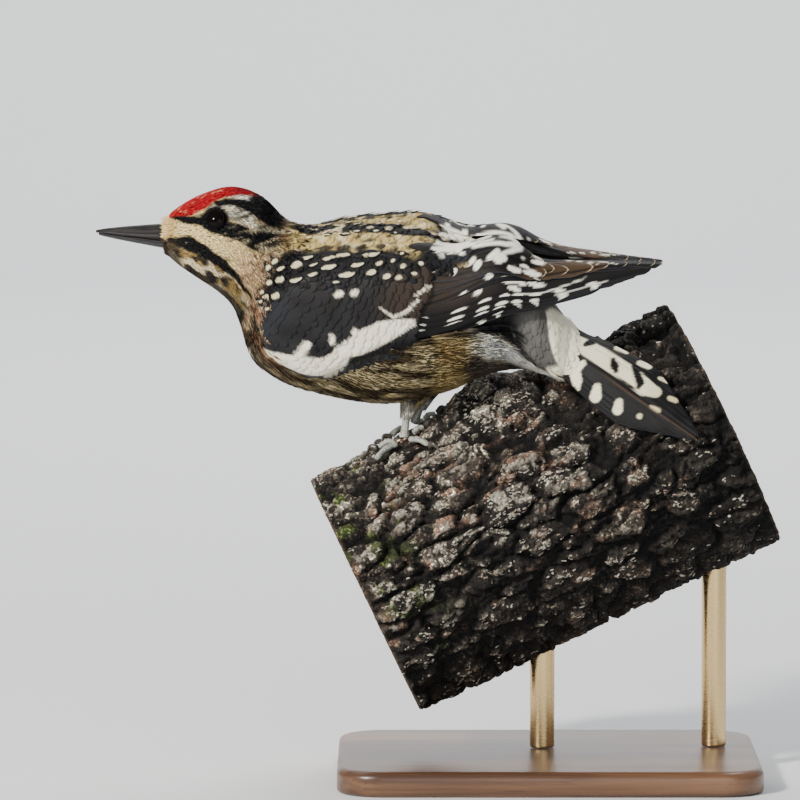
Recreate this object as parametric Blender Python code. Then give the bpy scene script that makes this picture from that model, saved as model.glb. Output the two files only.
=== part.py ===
"""A life-size sapsucker, a small woodpecker, on a short cut length of limb held by a plain display stand.

Metres, +Z up. The origin is the centre of the stand base's underside, on the floor. The bird faces -X and
its left side faces -Y. It is first described upright and straight, in its own plane of symmetry (y = 0),
and pose() then leans and turns it. Each piece is its own object, with a thin gap to the pieces beside it.
"""

import math

import bmesh
import bpy
from mathutils import Matrix, Vector

MM = 0.001
GAP = 0.35 * MM  # clear space between two pieces that touch on the real bird

# ---------------------------------------------------------------- driving sizes of the bird
BILL_LENGTH = 21.5 * MM
BILL_DEPTH = 7.6 * MM
BILL_WIDTH = 7.4 * MM
EYE_RADIUS = 4.0 * MM
EYE_PROUD = 1.1 * MM  # how far the eyeball stands out of the face
EYE_PLACE = (2.70, 60.0)  # station, degrees from the crown
TAIL_LENGTH = 50.0 * MM  # beyond the tail coverts
TAIL_WIDTH = 22.5 * MM
TAIL_HIDDEN = 7.0 * MM  # length of the root inside the rump
TARSUS_RADIUS = 1.35 * MM
TOE_LENGTHS = {
    "inner_front": 9.5 * MM,
    "outer_front": 12.5 * MM,
    "outer_back": 13.0 * MM,
    "inner_back": 7.5 * MM,
}
CLAW_LENGTH = 6.0 * MM

# ---------------------------------------------------------------- driving sizes of the perch and the stand
LIMB_RADIUS = 41.0 * MM
LIMB_SLOPE = math.radians(25.5)  # rise of the limb towards +X
LIMB_YAW = math.radians(3.0)  # the high end lies away from -Y
LIMB_BELOW_FOOT = 33.0 * MM  # length of limb on the low side of the feet
LIMB_ABOVE_FOOT = 94.0 * MM
FOOT_MARK = Vector((-46.3, 4.0, 110.0)) * MM  # top of the limb, midway between the feet
BASE_SIZE = Vector((136.0, 100.0, 8.0)) * MM
ROD_RADIUS = 4.0 * MM
ROD_DEPTH = 14.0 * MM  # how far a rod goes into the limb
ROD_PLACES = {"low": 10.0 * MM, "high": 72.0 * MM}  # along the limb from the feet

PLACE = Vector((6.0, -8.0, -6.0))  # where the bird stands over the base, mm

# ---------------------------------------------------------------- stations of the body, front to back
# (top x, top z, underside x, underside z, half width), all in mm in the bird's own plane
STATIONS = {
    "bill root": (-130.0, 185.4, -130.2, 176.7, 4.1),
    "forehead": (-126.3, 189.4, -125.9, 172.6, 7.6),
    "brow": (-118.4, 194.0, -119.4, 168.0, 10.7),
    "crown": (-108.2, 196.9, -112.8, 163.6, 12.6),
    "hind crown": (-98.4, 194.2, -108.0, 158.8, 13.4),
    "nape": (-89.6, 186.4, -105.4, 152.4, 14.6),
    "neck base": (-80.6, 185.0, -103.4, 145.2, 17.6),
    "mantle": (-68.6, 186.8, -99.6, 138.6, 20.6),
    "breast": (-55.4, 187.6, -86.0, 131.0, 22.6),
    "belly": (-44.4, 186.4, -60.8, 126.0, 23.0),
    "legs": (-31.7, 182.6, -40.6, 130.4, 21.0),
    "vent": (-18.7, 174.6, -26.4, 137.0, 16.8),
}
RUMP_STATIONS = {
    "rump": (-10.0, 167.0, -16.4, 138.6, 13.6),
    "tail root": (-4.0, 160.0, -9.4, 138.2, 12.4),
    "covert tips": (2.0, 152.6, -2.0, 139.6, 11.0),
}
# The bed that the folded wings lie on: the body as far as the legs, then free behind it to the wing tips
BED_STATIONS = {
    "wing over vent": (-18.0, 183.8, -18.0, 136.6, 18.4),
    "wing over rump": (-5.0, 177.4, -5.0, 143.6, 14.4),
    "wing behind": (14.5, 175.0, 14.5, 156.0, 8.4),
    "wing point": (24.0, 174.4, 24.0, 162.4, 5.2),
    "wing tip": (31.8, 173.8, 31.8, 167.4, 3.2),
}
# How the body leans and turns, at places along X in mm: (x, roll in degrees, sideways shift in mm)
LEAN = (
    (-148.0, 6.0, 8.0),
    (-110.0, 8.0, 6.0),
    (-92.0, 14.0, 4.5),
    (-74.0, 22.0, 3.0),
    (-52.0, 26.0, 0.5),
    (-20.0, 28.0, -6.0),
    (10.0, 28.0, -12.5),
    (48.0, 28.0, -17.0),
)
AXIS_HEIGHT = (
    (-148.0, 182.0),
    (-108.0, 180.5),
    (-84.0, 166.5),
    (-60.0, 158.5),
    (-40.0, 157.5),
    (-18.0, 160.0),
    (10.0, 166.0),
    (48.0, 172.0),
)
RUMP_TWIST = ((-18.0, 0.0), (-8.0, 14.0), (2.0, 30.0))  # extra roll towards the tail, in degrees


# ---------------------------------------------------------------- small mathematics
def eased(x, keys):
    """The value at x on a smooth curve through keys, each (x, value)."""
    if x <= keys[0][0]:
        return keys[0][1]
    if x >= keys[-1][0]:
        return keys[-1][1]
    i = next(k for k in range(len(keys) - 1) if keys[k + 1][0] >= x)
    (x0, v0), (x1, v1) = keys[i], keys[i + 1]
    slope = (v1 - v0) / (x1 - x0)
    before = (v0 - keys[i - 1][1]) / (x0 - keys[i - 1][0]) if i else slope
    after = (keys[i + 2][1] - v1) / (keys[i + 2][0] - x1) if i + 2 < len(keys) else slope
    m0 = (before + slope) / 2 if before * slope > 0 else 0.0
    m1 = (after + slope) / 2 if after * slope > 0 else 0.0
    t, h = (x - x0) / (x1 - x0), x1 - x0
    return ((2 * t**3 - 3 * t**2 + 1) * v0 + (t**3 - 2 * t**2 + t) * h * m0
            + (3 * t**2 - 2 * t**3) * v1 + (t**3 - t**2) * h * m1)


def along(rows, s):
    """Row s of a list of number rows, with a smooth Catmull-Rom blend between rows where s isn't whole."""
    i = max(0, min(len(rows) - 2, int(math.floor(s))))
    t = s - i
    p0, p1, p2, p3 = (rows[max(0, min(len(rows) - 1, k))] for k in (i - 1, i, i + 1, i + 2))
    return [
        b + (c - a) / 2 * t + (a - 2.5 * b + 2 * c - d / 2) * t**2 + (1.5 * (b - c) + (d - a) / 2) * t**3
        for a, b, c, d in zip(p0, p1, p2, p3)
    ]


def lean_at(x_mm, extra=()):
    """(roll in radians, sideways shift in mm, yaw slope) of the posed body at x."""
    rolls = [(x, roll) for x, roll, _ in LEAN]
    shifts = [(x, shift) for x, _, shift in LEAN]
    roll = eased(x_mm, rolls) + (eased(x_mm, extra) if extra else 0.0)
    step = 2.0
    slope = (eased(x_mm + step, shifts) - eased(x_mm - step, shifts)) / (2 * step)
    return math.radians(roll), eased(x_mm, shifts), slope


def pose(x, y, z, extra=()):
    """A point of the upright bird, in mm, as a Vector in metres on the leaning, turned bird."""
    roll, shift, slope = lean_at(x, extra)
    middle = eased(x, AXIS_HEIGHT)
    if extra and x > extra[0][0]:
        middle += (146.0 - middle) * min(1.0, (x - extra[0][0]) / 16.0)
    aside = y * math.cos(roll) - (z - middle) * math.sin(roll)
    up = y * math.sin(roll) + (z - middle) * math.cos(roll)
    norm = math.hypot(1.0, slope)
    return (PLACE + Vector((x - aside * slope / norm, shift + aside / norm, middle + up))) * MM


# ---------------------------------------------------------------- making objects
def clear_scene():
    for obj in list(bpy.data.objects):
        bpy.data.objects.remove(obj, do_unlink=True)


def finish(name, colour, roughness, metallic=0.0):
    """A plain Principled material."""
    material = bpy.data.materials.get(name) or bpy.data.materials.new(name)
    material.use_nodes = True
    shader = material.node_tree.nodes["Principled BSDF"]
    shader.inputs["Base Color"].default_value = (*colour, 1.0)
    shader.inputs["Roughness"].default_value = roughness
    shader.inputs["Metallic"].default_value = metallic
    return material


def add_object(name, bm, material, smooth=True):
    bmesh.ops.recalc_face_normals(bm, faces=bm.faces)
    if bm.calc_volume(signed=True) < 0:
        bmesh.ops.reverse_faces(bm, faces=bm.faces)
    mesh = bpy.data.meshes.new(name)
    bm.to_mesh(mesh)
    bm.free()
    if smooth:
        mesh.shade_smooth()
        mesh.set_sharp_from_angle(angle=math.radians(40))
    mesh.materials.append(material)
    obj = bpy.data.objects.new(name, mesh)
    bpy.context.scene.collection.objects.link(obj)
    return obj


def loft(rings, shell=False):
    """A closed bmesh through rings of equally many points.

    Each end is filled from its middle, or straight across where a ring is a thin shell, out and back again.
    """
    bm = bmesh.new()
    rows = [[bm.verts.new(p) for p in ring] for ring in rings]
    count = len(rows[0])
    for a, b in zip(rows, rows[1:]):
        for k in range(count):
            bm.faces.new((a[k], a[(k + 1) % count], b[(k + 1) % count], b[k]))
    for row, ring in ((rows[0], rings[0]), (rows[-1], rings[-1])):
        if shell:
            for k in range(count // 2 - 1):
                bm.faces.new((row[k], row[k + 1], row[count - 2 - k], row[count - 1 - k]))
            continue
        middle = bm.verts.new(sum((Vector(p) for p in ring), Vector()) / count)
        for k in range(count):
            bm.faces.new((row[k], row[(k + 1) % count], middle))
    return bm


def tube(points, radii, sides, flat=1.0):
    """A closed tapering tube through points; flat squashes it along the up side of its path."""
    rings = []
    for i, p in enumerate(points):
        ahead = (points[min(i + 1, len(points) - 1)] - points[max(i - 1, 0)]).normalized()
        side = ahead.cross(Vector((0, 0, 1)))
        side = side.normalized() if side.length > 1e-6 else Vector((0, 1, 0))
        up = side.cross(ahead).normalized()
        rings.append([p + side * radii[i] * math.cos(a) + up * radii[i] * flat * math.sin(a)
                      for a in (2 * math.pi * k / sides for k in range(sides))])
    return loft(rings)


def boolean(obj, cutter, operation="DIFFERENCE"):
    cutter.hide_render = True
    cutter.display_type = "WIRE"
    modifier = obj.modifiers.new(cutter.name, "BOOLEAN")
    modifier.operation = operation
    modifier.solver = "EXACT"
    modifier.object = cutter


# ---------------------------------------------------------------- the body
def section_point(row, angle, proud=0.0):
    """A point of the upright body's section: angle 0 is the back, pi/2 the right side; proud is outwards."""
    top_x, top_z, low_x, low_z, half_width = row
    half = (math.hypot(top_x - low_x, top_z - low_z)) / 2
    up_x, up_z = (top_x - low_x) / (2 * half), (top_z - low_z) / (2 * half)
    rise, out = math.cos(angle) * (half + proud), math.sin(angle) * (half_width + proud)
    return (top_x + low_x) / 2 + up_x * rise, out, (top_z + low_z) / 2 + up_z * rise


def body_rings(rows, start, end, steps, sides, extra=(), proud=0.0):
    rings = []
    turns = [2 * math.pi * j / sides for j in range(sides)]
    for k in range(steps + 1):
        row = along(rows, start + (end - start) * k / steps)
        rings.append([pose(*section_point(row, turn, proud), extra) for turn in turns])
    return rings


def make_flesh():
    """Head, neck, trunk and rump: one smooth form parted by three thin cuts."""
    rows = list(STATIONS.values()) + list(RUMP_STATIONS.values())
    names = list(STATIONS) + list(RUMP_STATIONS)
    nape = names.index("hind crown") + 0.55
    shoulder = names.index("neck base") + 0.2
    vent = names.index("vent") + 0.1
    cut = 0.03  # half a cut, as a share of the way between two stations
    dark = finish("plumage_dark", (0.05, 0.047, 0.045), 0.8)
    buff = finish("plumage_buff", (0.45, 0.36, 0.22), 0.85)
    head = add_object("head", loft(body_rings(rows, 0.0, nape - cut, 15, 24)), dark)
    add_object("neck", loft(body_rings(rows, nape + cut, shoulder - cut, 6, 24)), buff)
    add_object("trunk", loft(body_rings(rows, shoulder + cut, vent - cut, 20, 28)), buff)
    rump = add_object("rump", loft(body_rings(rows, vent + cut, len(rows) - 1.0, 9, 24, RUMP_TWIST)), buff)
    return head, rump


def eye_centre(sign):
    """Middle of an eyeball: inwards from its place on the face."""
    rows = list(STATIONS.values())
    station, angle = EYE_PLACE[0], sign * math.radians(EYE_PLACE[1])
    face = pose(*section_point(along(rows, station), angle))
    ahead = pose(*section_point(along(rows, station + 0.05), angle)) - face
    round_it = pose(*section_point(along(rows, station), angle + 0.05)) - face
    outwards = ahead.cross(round_it).normalized()
    if outwards.y * sign < 0:
        outwards = -outwards
    return face - outwards * (EYE_RADIUS - EYE_PROUD)


def make_eyes(head):
    """Each eyeball is a sphere in a socket of its own, a little proud of the face."""
    black = finish("eye", (0.012, 0.008, 0.006), 0.08)
    for side, sign in (("left", -1), ("right", 1)):
        for name, radius in ((f"eye_{side}", EYE_RADIUS), (f"socket_{side}_cutter", EYE_RADIUS + GAP)):
            bm = bmesh.new()
            turn = Matrix.Rotation(math.pi / 2, 4, "X")
            bmesh.ops.create_uvsphere(bm, u_segments=16, v_segments=9, radius=radius,
                                      matrix=Matrix.Translation(eye_centre(sign)) @ turn)
            obj = add_object(name, bm, black)
            if name.endswith("cutter"):
                boolean(head, obj)


def make_bill():
    """Two mandibles, the upper one keeled, meeting along a straight gape and ending in a narrow chisel."""
    horn = finish("bill_horn", (0.035, 0.032, 0.034), 0.35)
    root_x, tip_x = -130.2 - GAP / MM, -130.2 - BILL_LENGTH / MM
    root_gape, tip_z = 180.2, 182.1
    half = BILL_WIDTH / MM / 2
    steps = 8
    for name, sign, share in (("bill_upper", 1, 0.62), ("bill_lower", -1, 0.38)):
        rings = []
        for k in range(steps + 1):
            t = k / steps
            x = root_x + (tip_x + (0.0 if sign > 0 else 0.9) - root_x) * t
            gape = root_gape + (tip_z - root_gape) * t + sign * GAP / MM / 2
            depth = BILL_DEPTH / MM * share * (1 - t) ** 0.82 + 0.45 * t
            width = half * (1 - t) ** 0.8 + 0.55 * t
            # keel, shoulder, side ridge, cutting edge, then back across
            outline = ((0.0, 1.0), (0.34, 0.86), (0.72, 0.52), (1.0, 0.24), (0.92, 0.0))
            right = [(out * width, gape + sign * up * depth) for out, up in outline]
            left = [(-out, z) for out, z in reversed(right[1:])]
            rings.append([pose(x, out, z) for out, z in right + left])
        add_object(name, loft(rings), horn)


# ---------------------------------------------------------------- the wings
# Along the stations: the folded wing's lower and upper edges in degrees from the back, and sizes in mm
WING_LOWER = ((4.4, 64.0), (5.0, 100.0), (6.0, 114.0), (7.0, 121.0), (8.0, 116.0), (9.0, 88.0), (10.0, 78.0),
              (11.0, 72.0), (12.0, 62.0), (13.0, 54.0), (14.0, 52.0), (15.0, 50.0))
WING_UPPER = ((4.4, 50.0), (5.0, 54.0), (6.0, 45.0), (7.0, 36.0), (8.0, 26.0), (9.0, 17.0), (10.0, 10.0),
              (11.0, 6.0), (13.0, 6.0), (15.0, 10.0))
WING_THICKNESS = ((5.2, 2.2), (6.5, 4.2), (8.0, 3.8), (10.0, 2.8), (12.0, 1.8), (15.0, 0.9))
WING_CLEAR = ((5.0, 0.7), (8.0, 0.7), (10.0, 1.0), (12.0, 0.8))  # between the wing and the body
WING_START = 5.3  # station of the bend
WING_PART = 9.0  # of the cut behind the coverts
WING_END = 14.8


def wing_rings(rows, start, end, steps, spans, sign):
    """Closed sections of one folded wing: out along its outer face, then back along its inner one."""
    rings = []
    for k in range(steps + 1):
        s = start + (end - start) * k / steps
        row = along(rows, s)
        low, high = eased(s, WING_LOWER), eased(s, WING_UPPER)
        round_in = 0.25 + 0.75 * math.sqrt(max(0.0, 1 - max(0.0, 1 - (s - WING_START) / 1.2) ** 2))
        middle = (low + high) / 2
        low, high = middle + (low - middle) * round_in, middle + (high - middle) * round_in
        thick, clear = eased(s, WING_THICKNESS), eased(s, WING_CLEAR)
        outer, inner = [], []
        for j in range(spans + 1):
            share = j / spans
            angle = sign * math.radians(low + (high - low) * share)
            swell = 0.35 + 0.65 * math.sin(math.pi * min(max(share, 0.0), 1.0)) ** 0.6
            outer.append(pose(*section_point(row, angle, clear + max(0.6, thick * swell))))
            inner.append(pose(*section_point(row, angle, clear)))
        rings.append(outer + inner[::-1])
    return rings


def make_wings():
    slate = finish("wing_slate", (0.04, 0.042, 0.047), 0.7)
    rows = list(STATIONS.values())[:-1] + list(BED_STATIONS.values())
    half_cut = 0.03
    for side, sign in (("left", -1), ("right", 1)):
        front = wing_rings(rows, WING_START, WING_PART - half_cut, 13, 9, sign)
        back = wing_rings(rows, WING_PART + half_cut, WING_END, 12, 8, sign)
        add_object(f"wing_{side}_coverts", loft(front, shell=True), slate)
        add_object(f"wing_{side}_flight", loft(back, shell=True), slate)


# ---------------------------------------------------------------- the tail
TAIL_ROOT = Vector((7.2, -22.3, 139.4)) * MM
TAIL_DIP = math.radians(32.0)
TAIL_YAW = math.radians(20.0)
TAIL_ROLL = math.radians(64.0)
TAIL_TIPS = (0.13, 0.38, 0.60, 0.79, 0.95)  # feather tips of one side, as shares of half the width


def tail_matrix():
    """From the tail's own frame, X along it and Z out of its upper face, to the bird."""
    turn = Matrix.Rotation(-TAIL_YAW, 4, "Z") @ Matrix.Rotation(TAIL_DIP, 4, "Y")
    return Matrix.Translation(TAIL_ROOT) @ turn @ Matrix.Rotation(TAIL_ROLL, 4, "X")


def tail_reach(share):
    """Length of the tail at a place across it: long pointed middle feathers, shorter ones outwards."""
    out = abs(share)
    nearest = min(abs(out - tip) for tip in TAIL_TIPS)
    return TAIL_LENGTH * (1.0 - 0.34 * out**1.5) - 3.0 * MM * min(1.0, nearest / 0.12)


def tail_rings(proud=0.0):
    """Sections of the tail, from its left edge to its right one; proud swells it all round."""
    spans = [0.0, 0.13, 0.255, 0.38, 0.49, 0.60, 0.695, 0.79, 0.87, 0.95, 1.0]
    shares = [-u for u in reversed(spans[1:])] + spans
    rings = []
    for share in shares:
        top, under = [], []
        for t in (0.0, 0.2, 0.4, 0.6, 0.8, 0.92, 1.0):
            x = (tail_reach(share) + TAIL_HIDDEN) * t
            bare = max(0.0, x - TAIL_HIDDEN) / TAIL_LENGTH
            half = TAIL_WIDTH / 2 * (0.60 + 0.40 * min(1.0, bare / 0.5)) * (1 - 0.92 * max(0.0, bare - 0.5))
            roof = 1.9 * MM * (1 - abs(share) ** 1.6) - 2.4 * MM * bare**2
            thick = (2.2 - 1.5 * t) * MM * (1 - 0.45 * abs(share)) + 2 * proud
            place = Vector((x - TAIL_HIDDEN - (proud if t == 0.0 else 0.0), share * (half + proud), roof))
            top.append(tail_matrix() @ (place + Vector((0, 0, thick / 2))))
            under.append(tail_matrix() @ (place - Vector((0, 0, thick / 2))))
        rings.append(top + under[::-1])
    return rings


def make_tail(rump):
    """A wedge of ten stiff feathers: a thin slab, roofed along the middle, its root in a slot."""
    black = finish("tail_black", (0.04, 0.04, 0.045), 0.6)
    add_object("tail", loft(tail_rings(), shell=True), black)
    boolean(rump, add_object("tail_slot_cutter", loft(tail_rings(GAP), shell=True), black))


# ---------------------------------------------------------------- the limb
def limb_frame():
    """(point on the limb's middle line below the feet, direction along it, side, up)."""
    along_limb = Vector((math.cos(LIMB_SLOPE), 0, math.sin(LIMB_SLOPE)))
    along_limb = (Matrix.Rotation(LIMB_YAW, 3, "Z") @ along_limb).normalized()
    side = Vector((0, 0, 1)).cross(along_limb).normalized()
    up = along_limb.cross(side).normalized()
    return FOOT_MARK - up * limb_radius(0.0, 0.0), along_limb, side, up


def limb_radius(s, angle):
    """The limb isn't quite round, and swells towards its high end, where it forked."""
    uneven = 0.020 * math.sin(2 * angle + 0.6) + 0.014 * math.sin(3 * angle - 1.1 + 9 * s)
    uneven += 0.008 * math.sin(5 * angle + 30 * s)
    swell = 0.02 * (1 / (1 + math.exp(-(s / MM - 70.0) / 14.0)))
    return LIMB_RADIUS * (1 + uneven + swell)


def limb_point(s, angle, proud=0.0):
    """A point on the bark: s along the limb from the feet, angle from its top towards +Y."""
    foot, ahead, side, up = limb_frame()
    reach = limb_radius(s, angle) + proud
    return foot + ahead * s + (up * math.cos(angle) + side * math.sin(angle)) * reach


def make_perch():
    bark = finish("bark", (0.06, 0.052, 0.045), 0.95)
    sides, steps, chamfer = 36, 12, 1.2 * MM
    rings = []
    for k in range(steps + 1):
        s = -LIMB_BELOW_FOOT + (LIMB_BELOW_FOOT + LIMB_ABOVE_FOOT) * k / steps
        rings.append([limb_point(s, 2 * math.pi * j / sides) for j in range(sides)])
    low, high = -LIMB_BELOW_FOOT - chamfer, LIMB_ABOVE_FOOT + chamfer
    rings.insert(0, [limb_point(low, 2 * math.pi * j / sides, -chamfer) for j in range(sides)])
    rings.append([limb_point(high, 2 * math.pi * j / sides, -chamfer) for j in range(sides)])
    return add_object("perch", loft(rings), bark)


# ---------------------------------------------------------------- the legs
def tread(s, across, proud):
    """A point over the bark: across is the distance round the limb towards +Y."""
    return limb_point(s, across / LIMB_RADIUS, proud)


FOOT_ACROSS = {"left": -7.5 * MM, "right": 9.0 * MM}
FOOT_ALONG = {"left": -0.5 * MM, "right": 5.0 * MM}
ANKLE = {"left": Vector((-45.6, -2.4, 119.2)) * MM, "right": Vector((-41.0, 11.4, 120.2)) * MM}
# (name, direction in degrees from straight down the limb, turning outwards; arch in mm)
TOES = (
    ("inner_front", -25.0, 1.0),
    ("outer_front", 23.0, 1.2),
    ("outer_back", 118.0, 1.0),
    ("inner_back", 196.0, 0.8),
)


def make_foot(side, out):
    """Tarsus, four toes, two forward and two back, and claws. out is +1 where outwards is +Y."""
    skin = finish("leg_skin", (0.30, 0.31, 0.26), 0.55)
    claw_horn = finish("claw_horn", (0.05, 0.045, 0.04), 0.3)
    s0, across0 = FOOT_ALONG[side], FOOT_ACROSS[side]
    sole = tread(s0, across0, 1.7 * MM)
    ankle = ANKLE[side]
    shin = [ankle.lerp(sole, t) for t in (0.0, 0.25, 0.5, 0.75, 1.0)]
    shin_radii = [TARSUS_RADIUS * r for r in (1.12, 1.0, 0.95, 1.0, 1.35)]
    add_object(f"tarsus_{side}", tube(shin, shin_radii, 8), skin)
    for name, turn, arch in TOES:
        direction = math.radians(turn)
        length = TOE_LENGTHS[name]
        start, steps = 3.3 * MM, 5
        path, radii = [], []
        for k in range(steps + 1):
            t = k / steps
            reach = start + (length - start) * t
            s = s0 - math.cos(direction) * reach
            across = across0 + out * math.sin(direction) * reach
            radius = (1.0 - 0.22 * t) * MM
            lift = radius + GAP * 1.3 + arch * MM * 0.7 * math.sin(math.pi * t) ** 2
            path.append(tread(s, across, lift))
            radii.append(radius * (1.0 + 0.10 * math.cos(4 * math.pi * t)))
        add_object(f"toe_{side}_{name}", tube(path, radii, 7), skin)
        claw, claw_radii = [], []
        for k in range(6):
            t = k / 5
            reach = length + 1.6 * GAP + CLAW_LENGTH * 0.72 * t
            s = s0 - math.cos(direction) * reach
            across = across0 + out * math.sin(direction) * reach
            radius = (0.85 * (1 - t) ** 0.8 + 0.16) * MM
            height = 1.25 * (1 - t**3) + 0.85 * t**3 + 1.1 * math.sin(math.pi * t) ** 2
            claw.append(tread(s, across, height * MM))
            claw_radii.append(radius)
        add_object(f"claw_{side}_{name}", tube(claw, claw_radii, 6, flat=1.25), claw_horn)
    return ankle


def make_legs():
    """The feathered thighs, cut to the belly above them, and the bare feet below."""
    buff = finish("plumage_buff", (0.45, 0.36, 0.22), 0.85)
    rows = list(STATIONS.values())
    cutter = add_object("belly_cutter", loft(body_rings(rows, 5.5, 11.0, 15, 28, proud=GAP / MM)), buff)
    for side, out in (("left", -1), ("right", 1)):
        ankle = make_foot(side, out)
        knee = ankle + Vector((3.0, 0.0, 8.0)) * MM
        sole = tread(FOOT_ALONG[side], FOOT_ACROSS[side], 1.7 * MM)
        foot_end = ankle.lerp(sole, 0.35)
        path = [knee.lerp(foot_end, t) for t in (0.0, 0.3, 0.55, 0.8, 0.97)]
        radii = [radius * MM for radius in (5.0, 4.8, 4.2, 3.2, 2.3)]
        thigh = add_object(f"thigh_{side}", tube(path, radii, 12), buff)
        boolean(thigh, cutter)
        shin = tube([ankle + (ankle - sole) * 0.35, ankle, sole], [TARSUS_RADIUS * 1.15 + GAP] * 3, 10)
        boolean(thigh, add_object(f"shin_{side}_cutter", shin, buff))


# ---------------------------------------------------------------- the stand
def rounded_slab(size, radius, bevel):
    """A board with rounded corners and a soft top edge, standing on z = 0."""
    bm = bmesh.new()
    outline, per_corner = [], 6
    for corner, (right, back) in enumerate(((1, 1), (-1, 1), (-1, -1), (1, -1))):
        middle = (right * (size.x / 2 - radius), back * (size.y / 2 - radius))
        for k in range(per_corner + 1):
            a = math.pi / 2 * (corner + k / per_corner)
            outline.append((middle[0] + radius * math.cos(a), middle[1] + radius * math.sin(a)))
    top = size.z
    levels = ((0.0, 0.4), (bevel * 0.4, 0.0), (top - bevel, 0.0), (top - bevel * 0.3, 0.3), (top, 1.0))
    rings = []
    for z, share in levels:
        shrink_x, shrink_y = 1 - 2 * bevel * share / size.x, 1 - 2 * bevel * share / size.y
        rings.append([bm.verts.new((x * shrink_x, y * shrink_y, z)) for x, y in outline])
    for low, high in zip(rings, rings[1:]):
        for k in range(len(low)):
            after = (k + 1) % len(low)
            bm.faces.new((low[k], low[after], high[after], high[k]))
    bm.faces.new(rings[0][::-1])
    bm.faces.new(rings[-1])
    return bm


def post(name, x, y, low, high, radius, material):
    """An upright round bar."""
    bm = bmesh.new()
    place = Matrix.Translation((x, y, (low + high) / 2))
    bmesh.ops.create_cone(bm, cap_ends=True, segments=20, radius1=radius, radius2=radius, depth=high - low,
                          matrix=place)
    return add_object(name, bm, material)


def make_stand(perch):
    """A flat base and two short rods let into the underside of the limb."""
    walnut = finish("base_wood", (0.10, 0.045, 0.02), 0.35)
    brass = finish("rod_brass", (0.70, 0.52, 0.26), 0.3, 1.0)
    add_object("stand_base", rounded_slab(BASE_SIZE, 14 * MM, 2.5 * MM), walnut)
    for name, s in ROD_PLACES.items():
        under = limb_point(s, math.pi)
        top = under.z + ROD_DEPTH
        post(f"stand_rod_{name}", under.x, under.y, BASE_SIZE.z + GAP, top, ROD_RADIUS, brass)
        bore = post(f"bore_{name}_cutter", under.x, under.y, 0.0, top + GAP, ROD_RADIUS + GAP, brass)
        boolean(perch, bore)


def main():
    clear_scene()
    head, rump = make_flesh()
    make_eyes(head)
    make_bill()
    make_wings()
    make_tail(rump)
    make_legs()
    make_stand(make_perch())


main()
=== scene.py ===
import math

import bmesh
import bpy
import numpy as np
from mathutils import Matrix, Vector


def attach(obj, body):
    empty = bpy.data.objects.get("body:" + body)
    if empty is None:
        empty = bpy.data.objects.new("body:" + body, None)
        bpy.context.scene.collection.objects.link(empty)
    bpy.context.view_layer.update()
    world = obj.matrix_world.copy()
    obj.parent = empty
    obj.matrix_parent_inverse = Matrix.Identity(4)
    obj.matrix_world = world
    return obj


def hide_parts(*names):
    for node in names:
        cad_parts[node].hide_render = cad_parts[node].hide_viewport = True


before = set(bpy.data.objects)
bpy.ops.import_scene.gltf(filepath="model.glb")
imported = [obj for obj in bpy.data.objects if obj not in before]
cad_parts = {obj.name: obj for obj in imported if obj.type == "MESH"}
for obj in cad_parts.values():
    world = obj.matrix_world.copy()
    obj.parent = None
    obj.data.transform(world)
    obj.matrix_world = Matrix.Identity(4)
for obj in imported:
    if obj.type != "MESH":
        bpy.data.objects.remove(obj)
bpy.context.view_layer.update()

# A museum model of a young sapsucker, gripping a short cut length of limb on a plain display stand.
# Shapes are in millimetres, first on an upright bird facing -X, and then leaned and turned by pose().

MM = 0.001
PLACE = np.array((6.0, -8.0, -6.0))  # where the bird stands over the base
SIDES = (("left", -1), ("right", 1))

# ---------------------------------------------------------------- the bird's form
# stations front to back: (top x, top z, underside x, underside z, half width)
TRUNK = (
    (-130.0, 185.4, -130.2, 176.7, 4.1),  # 0 bill root
    (-126.3, 189.4, -125.9, 172.6, 7.6),  # 1 forehead
    (-118.4, 194.0, -119.4, 168.0, 10.7),  # 2 brow
    (-108.2, 196.9, -112.8, 163.6, 12.6),  # 3 crown
    (-98.4, 194.2, -108.0, 158.8, 13.4),  # 4 hind crown
    (-89.6, 186.4, -105.4, 152.4, 14.6),  # 5 nape
    (-80.6, 185.0, -103.4, 145.2, 17.6),  # 6 neck base
    (-68.6, 186.8, -99.6, 138.6, 20.6),  # 7 mantle
    (-55.4, 187.6, -86.0, 131.0, 22.6),  # 8 breast
    (-44.4, 186.4, -60.8, 126.0, 23.0),  # 9 belly
    (-31.7, 182.6, -40.6, 130.4, 21.0),  # 10 legs
)
VENT = (-18.7, 174.6, -26.4, 137.0, 16.8)
RUMP = (
    (-10.0, 167.0, -16.4, 138.6, 13.6),
    (-4.0, 160.0, -9.4, 138.2, 12.4),
    (2.0, 152.6, -2.0, 139.6, 11.0),
)
BED = (  # what the folded wings lie on behind the legs
    (-18.0, 183.8, -18.0, 136.6, 18.4),
    (-5.0, 177.4, -5.0, 143.6, 14.4),
    (14.5, 175.0, 14.5, 156.0, 8.4),
    (24.0, 174.4, 24.0, 162.4, 5.2),
    (31.8, 173.8, 31.8, 167.4, 3.2),
)
BODY = np.array(TRUNK + (VENT,) + RUMP)
WING_BED = np.array(TRUNK + BED)
ROLL = ((-148, 6), (-110, 8), (-92, 14), (-74, 22), (-52, 26), (-20, 28), (48, 28))
SHIFT = ((-148, 8.0), (-110, 6.0), (-92, 4.5), (-74, 3.0), (-52, 0.5), (-20, -6.0), (10, -12.5),
         (48, -17.0))
AXIS = ((-148, 182.0), (-108, 180.5), (-84, 166.5), (-60, 158.5), (-40, 157.5), (-18, 160.0), (10, 166.0),
        (48, 172.0))
TWIST = ((-18, 0), (-8, 14), (2, 30))  # extra roll of the rump towards the tail
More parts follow.
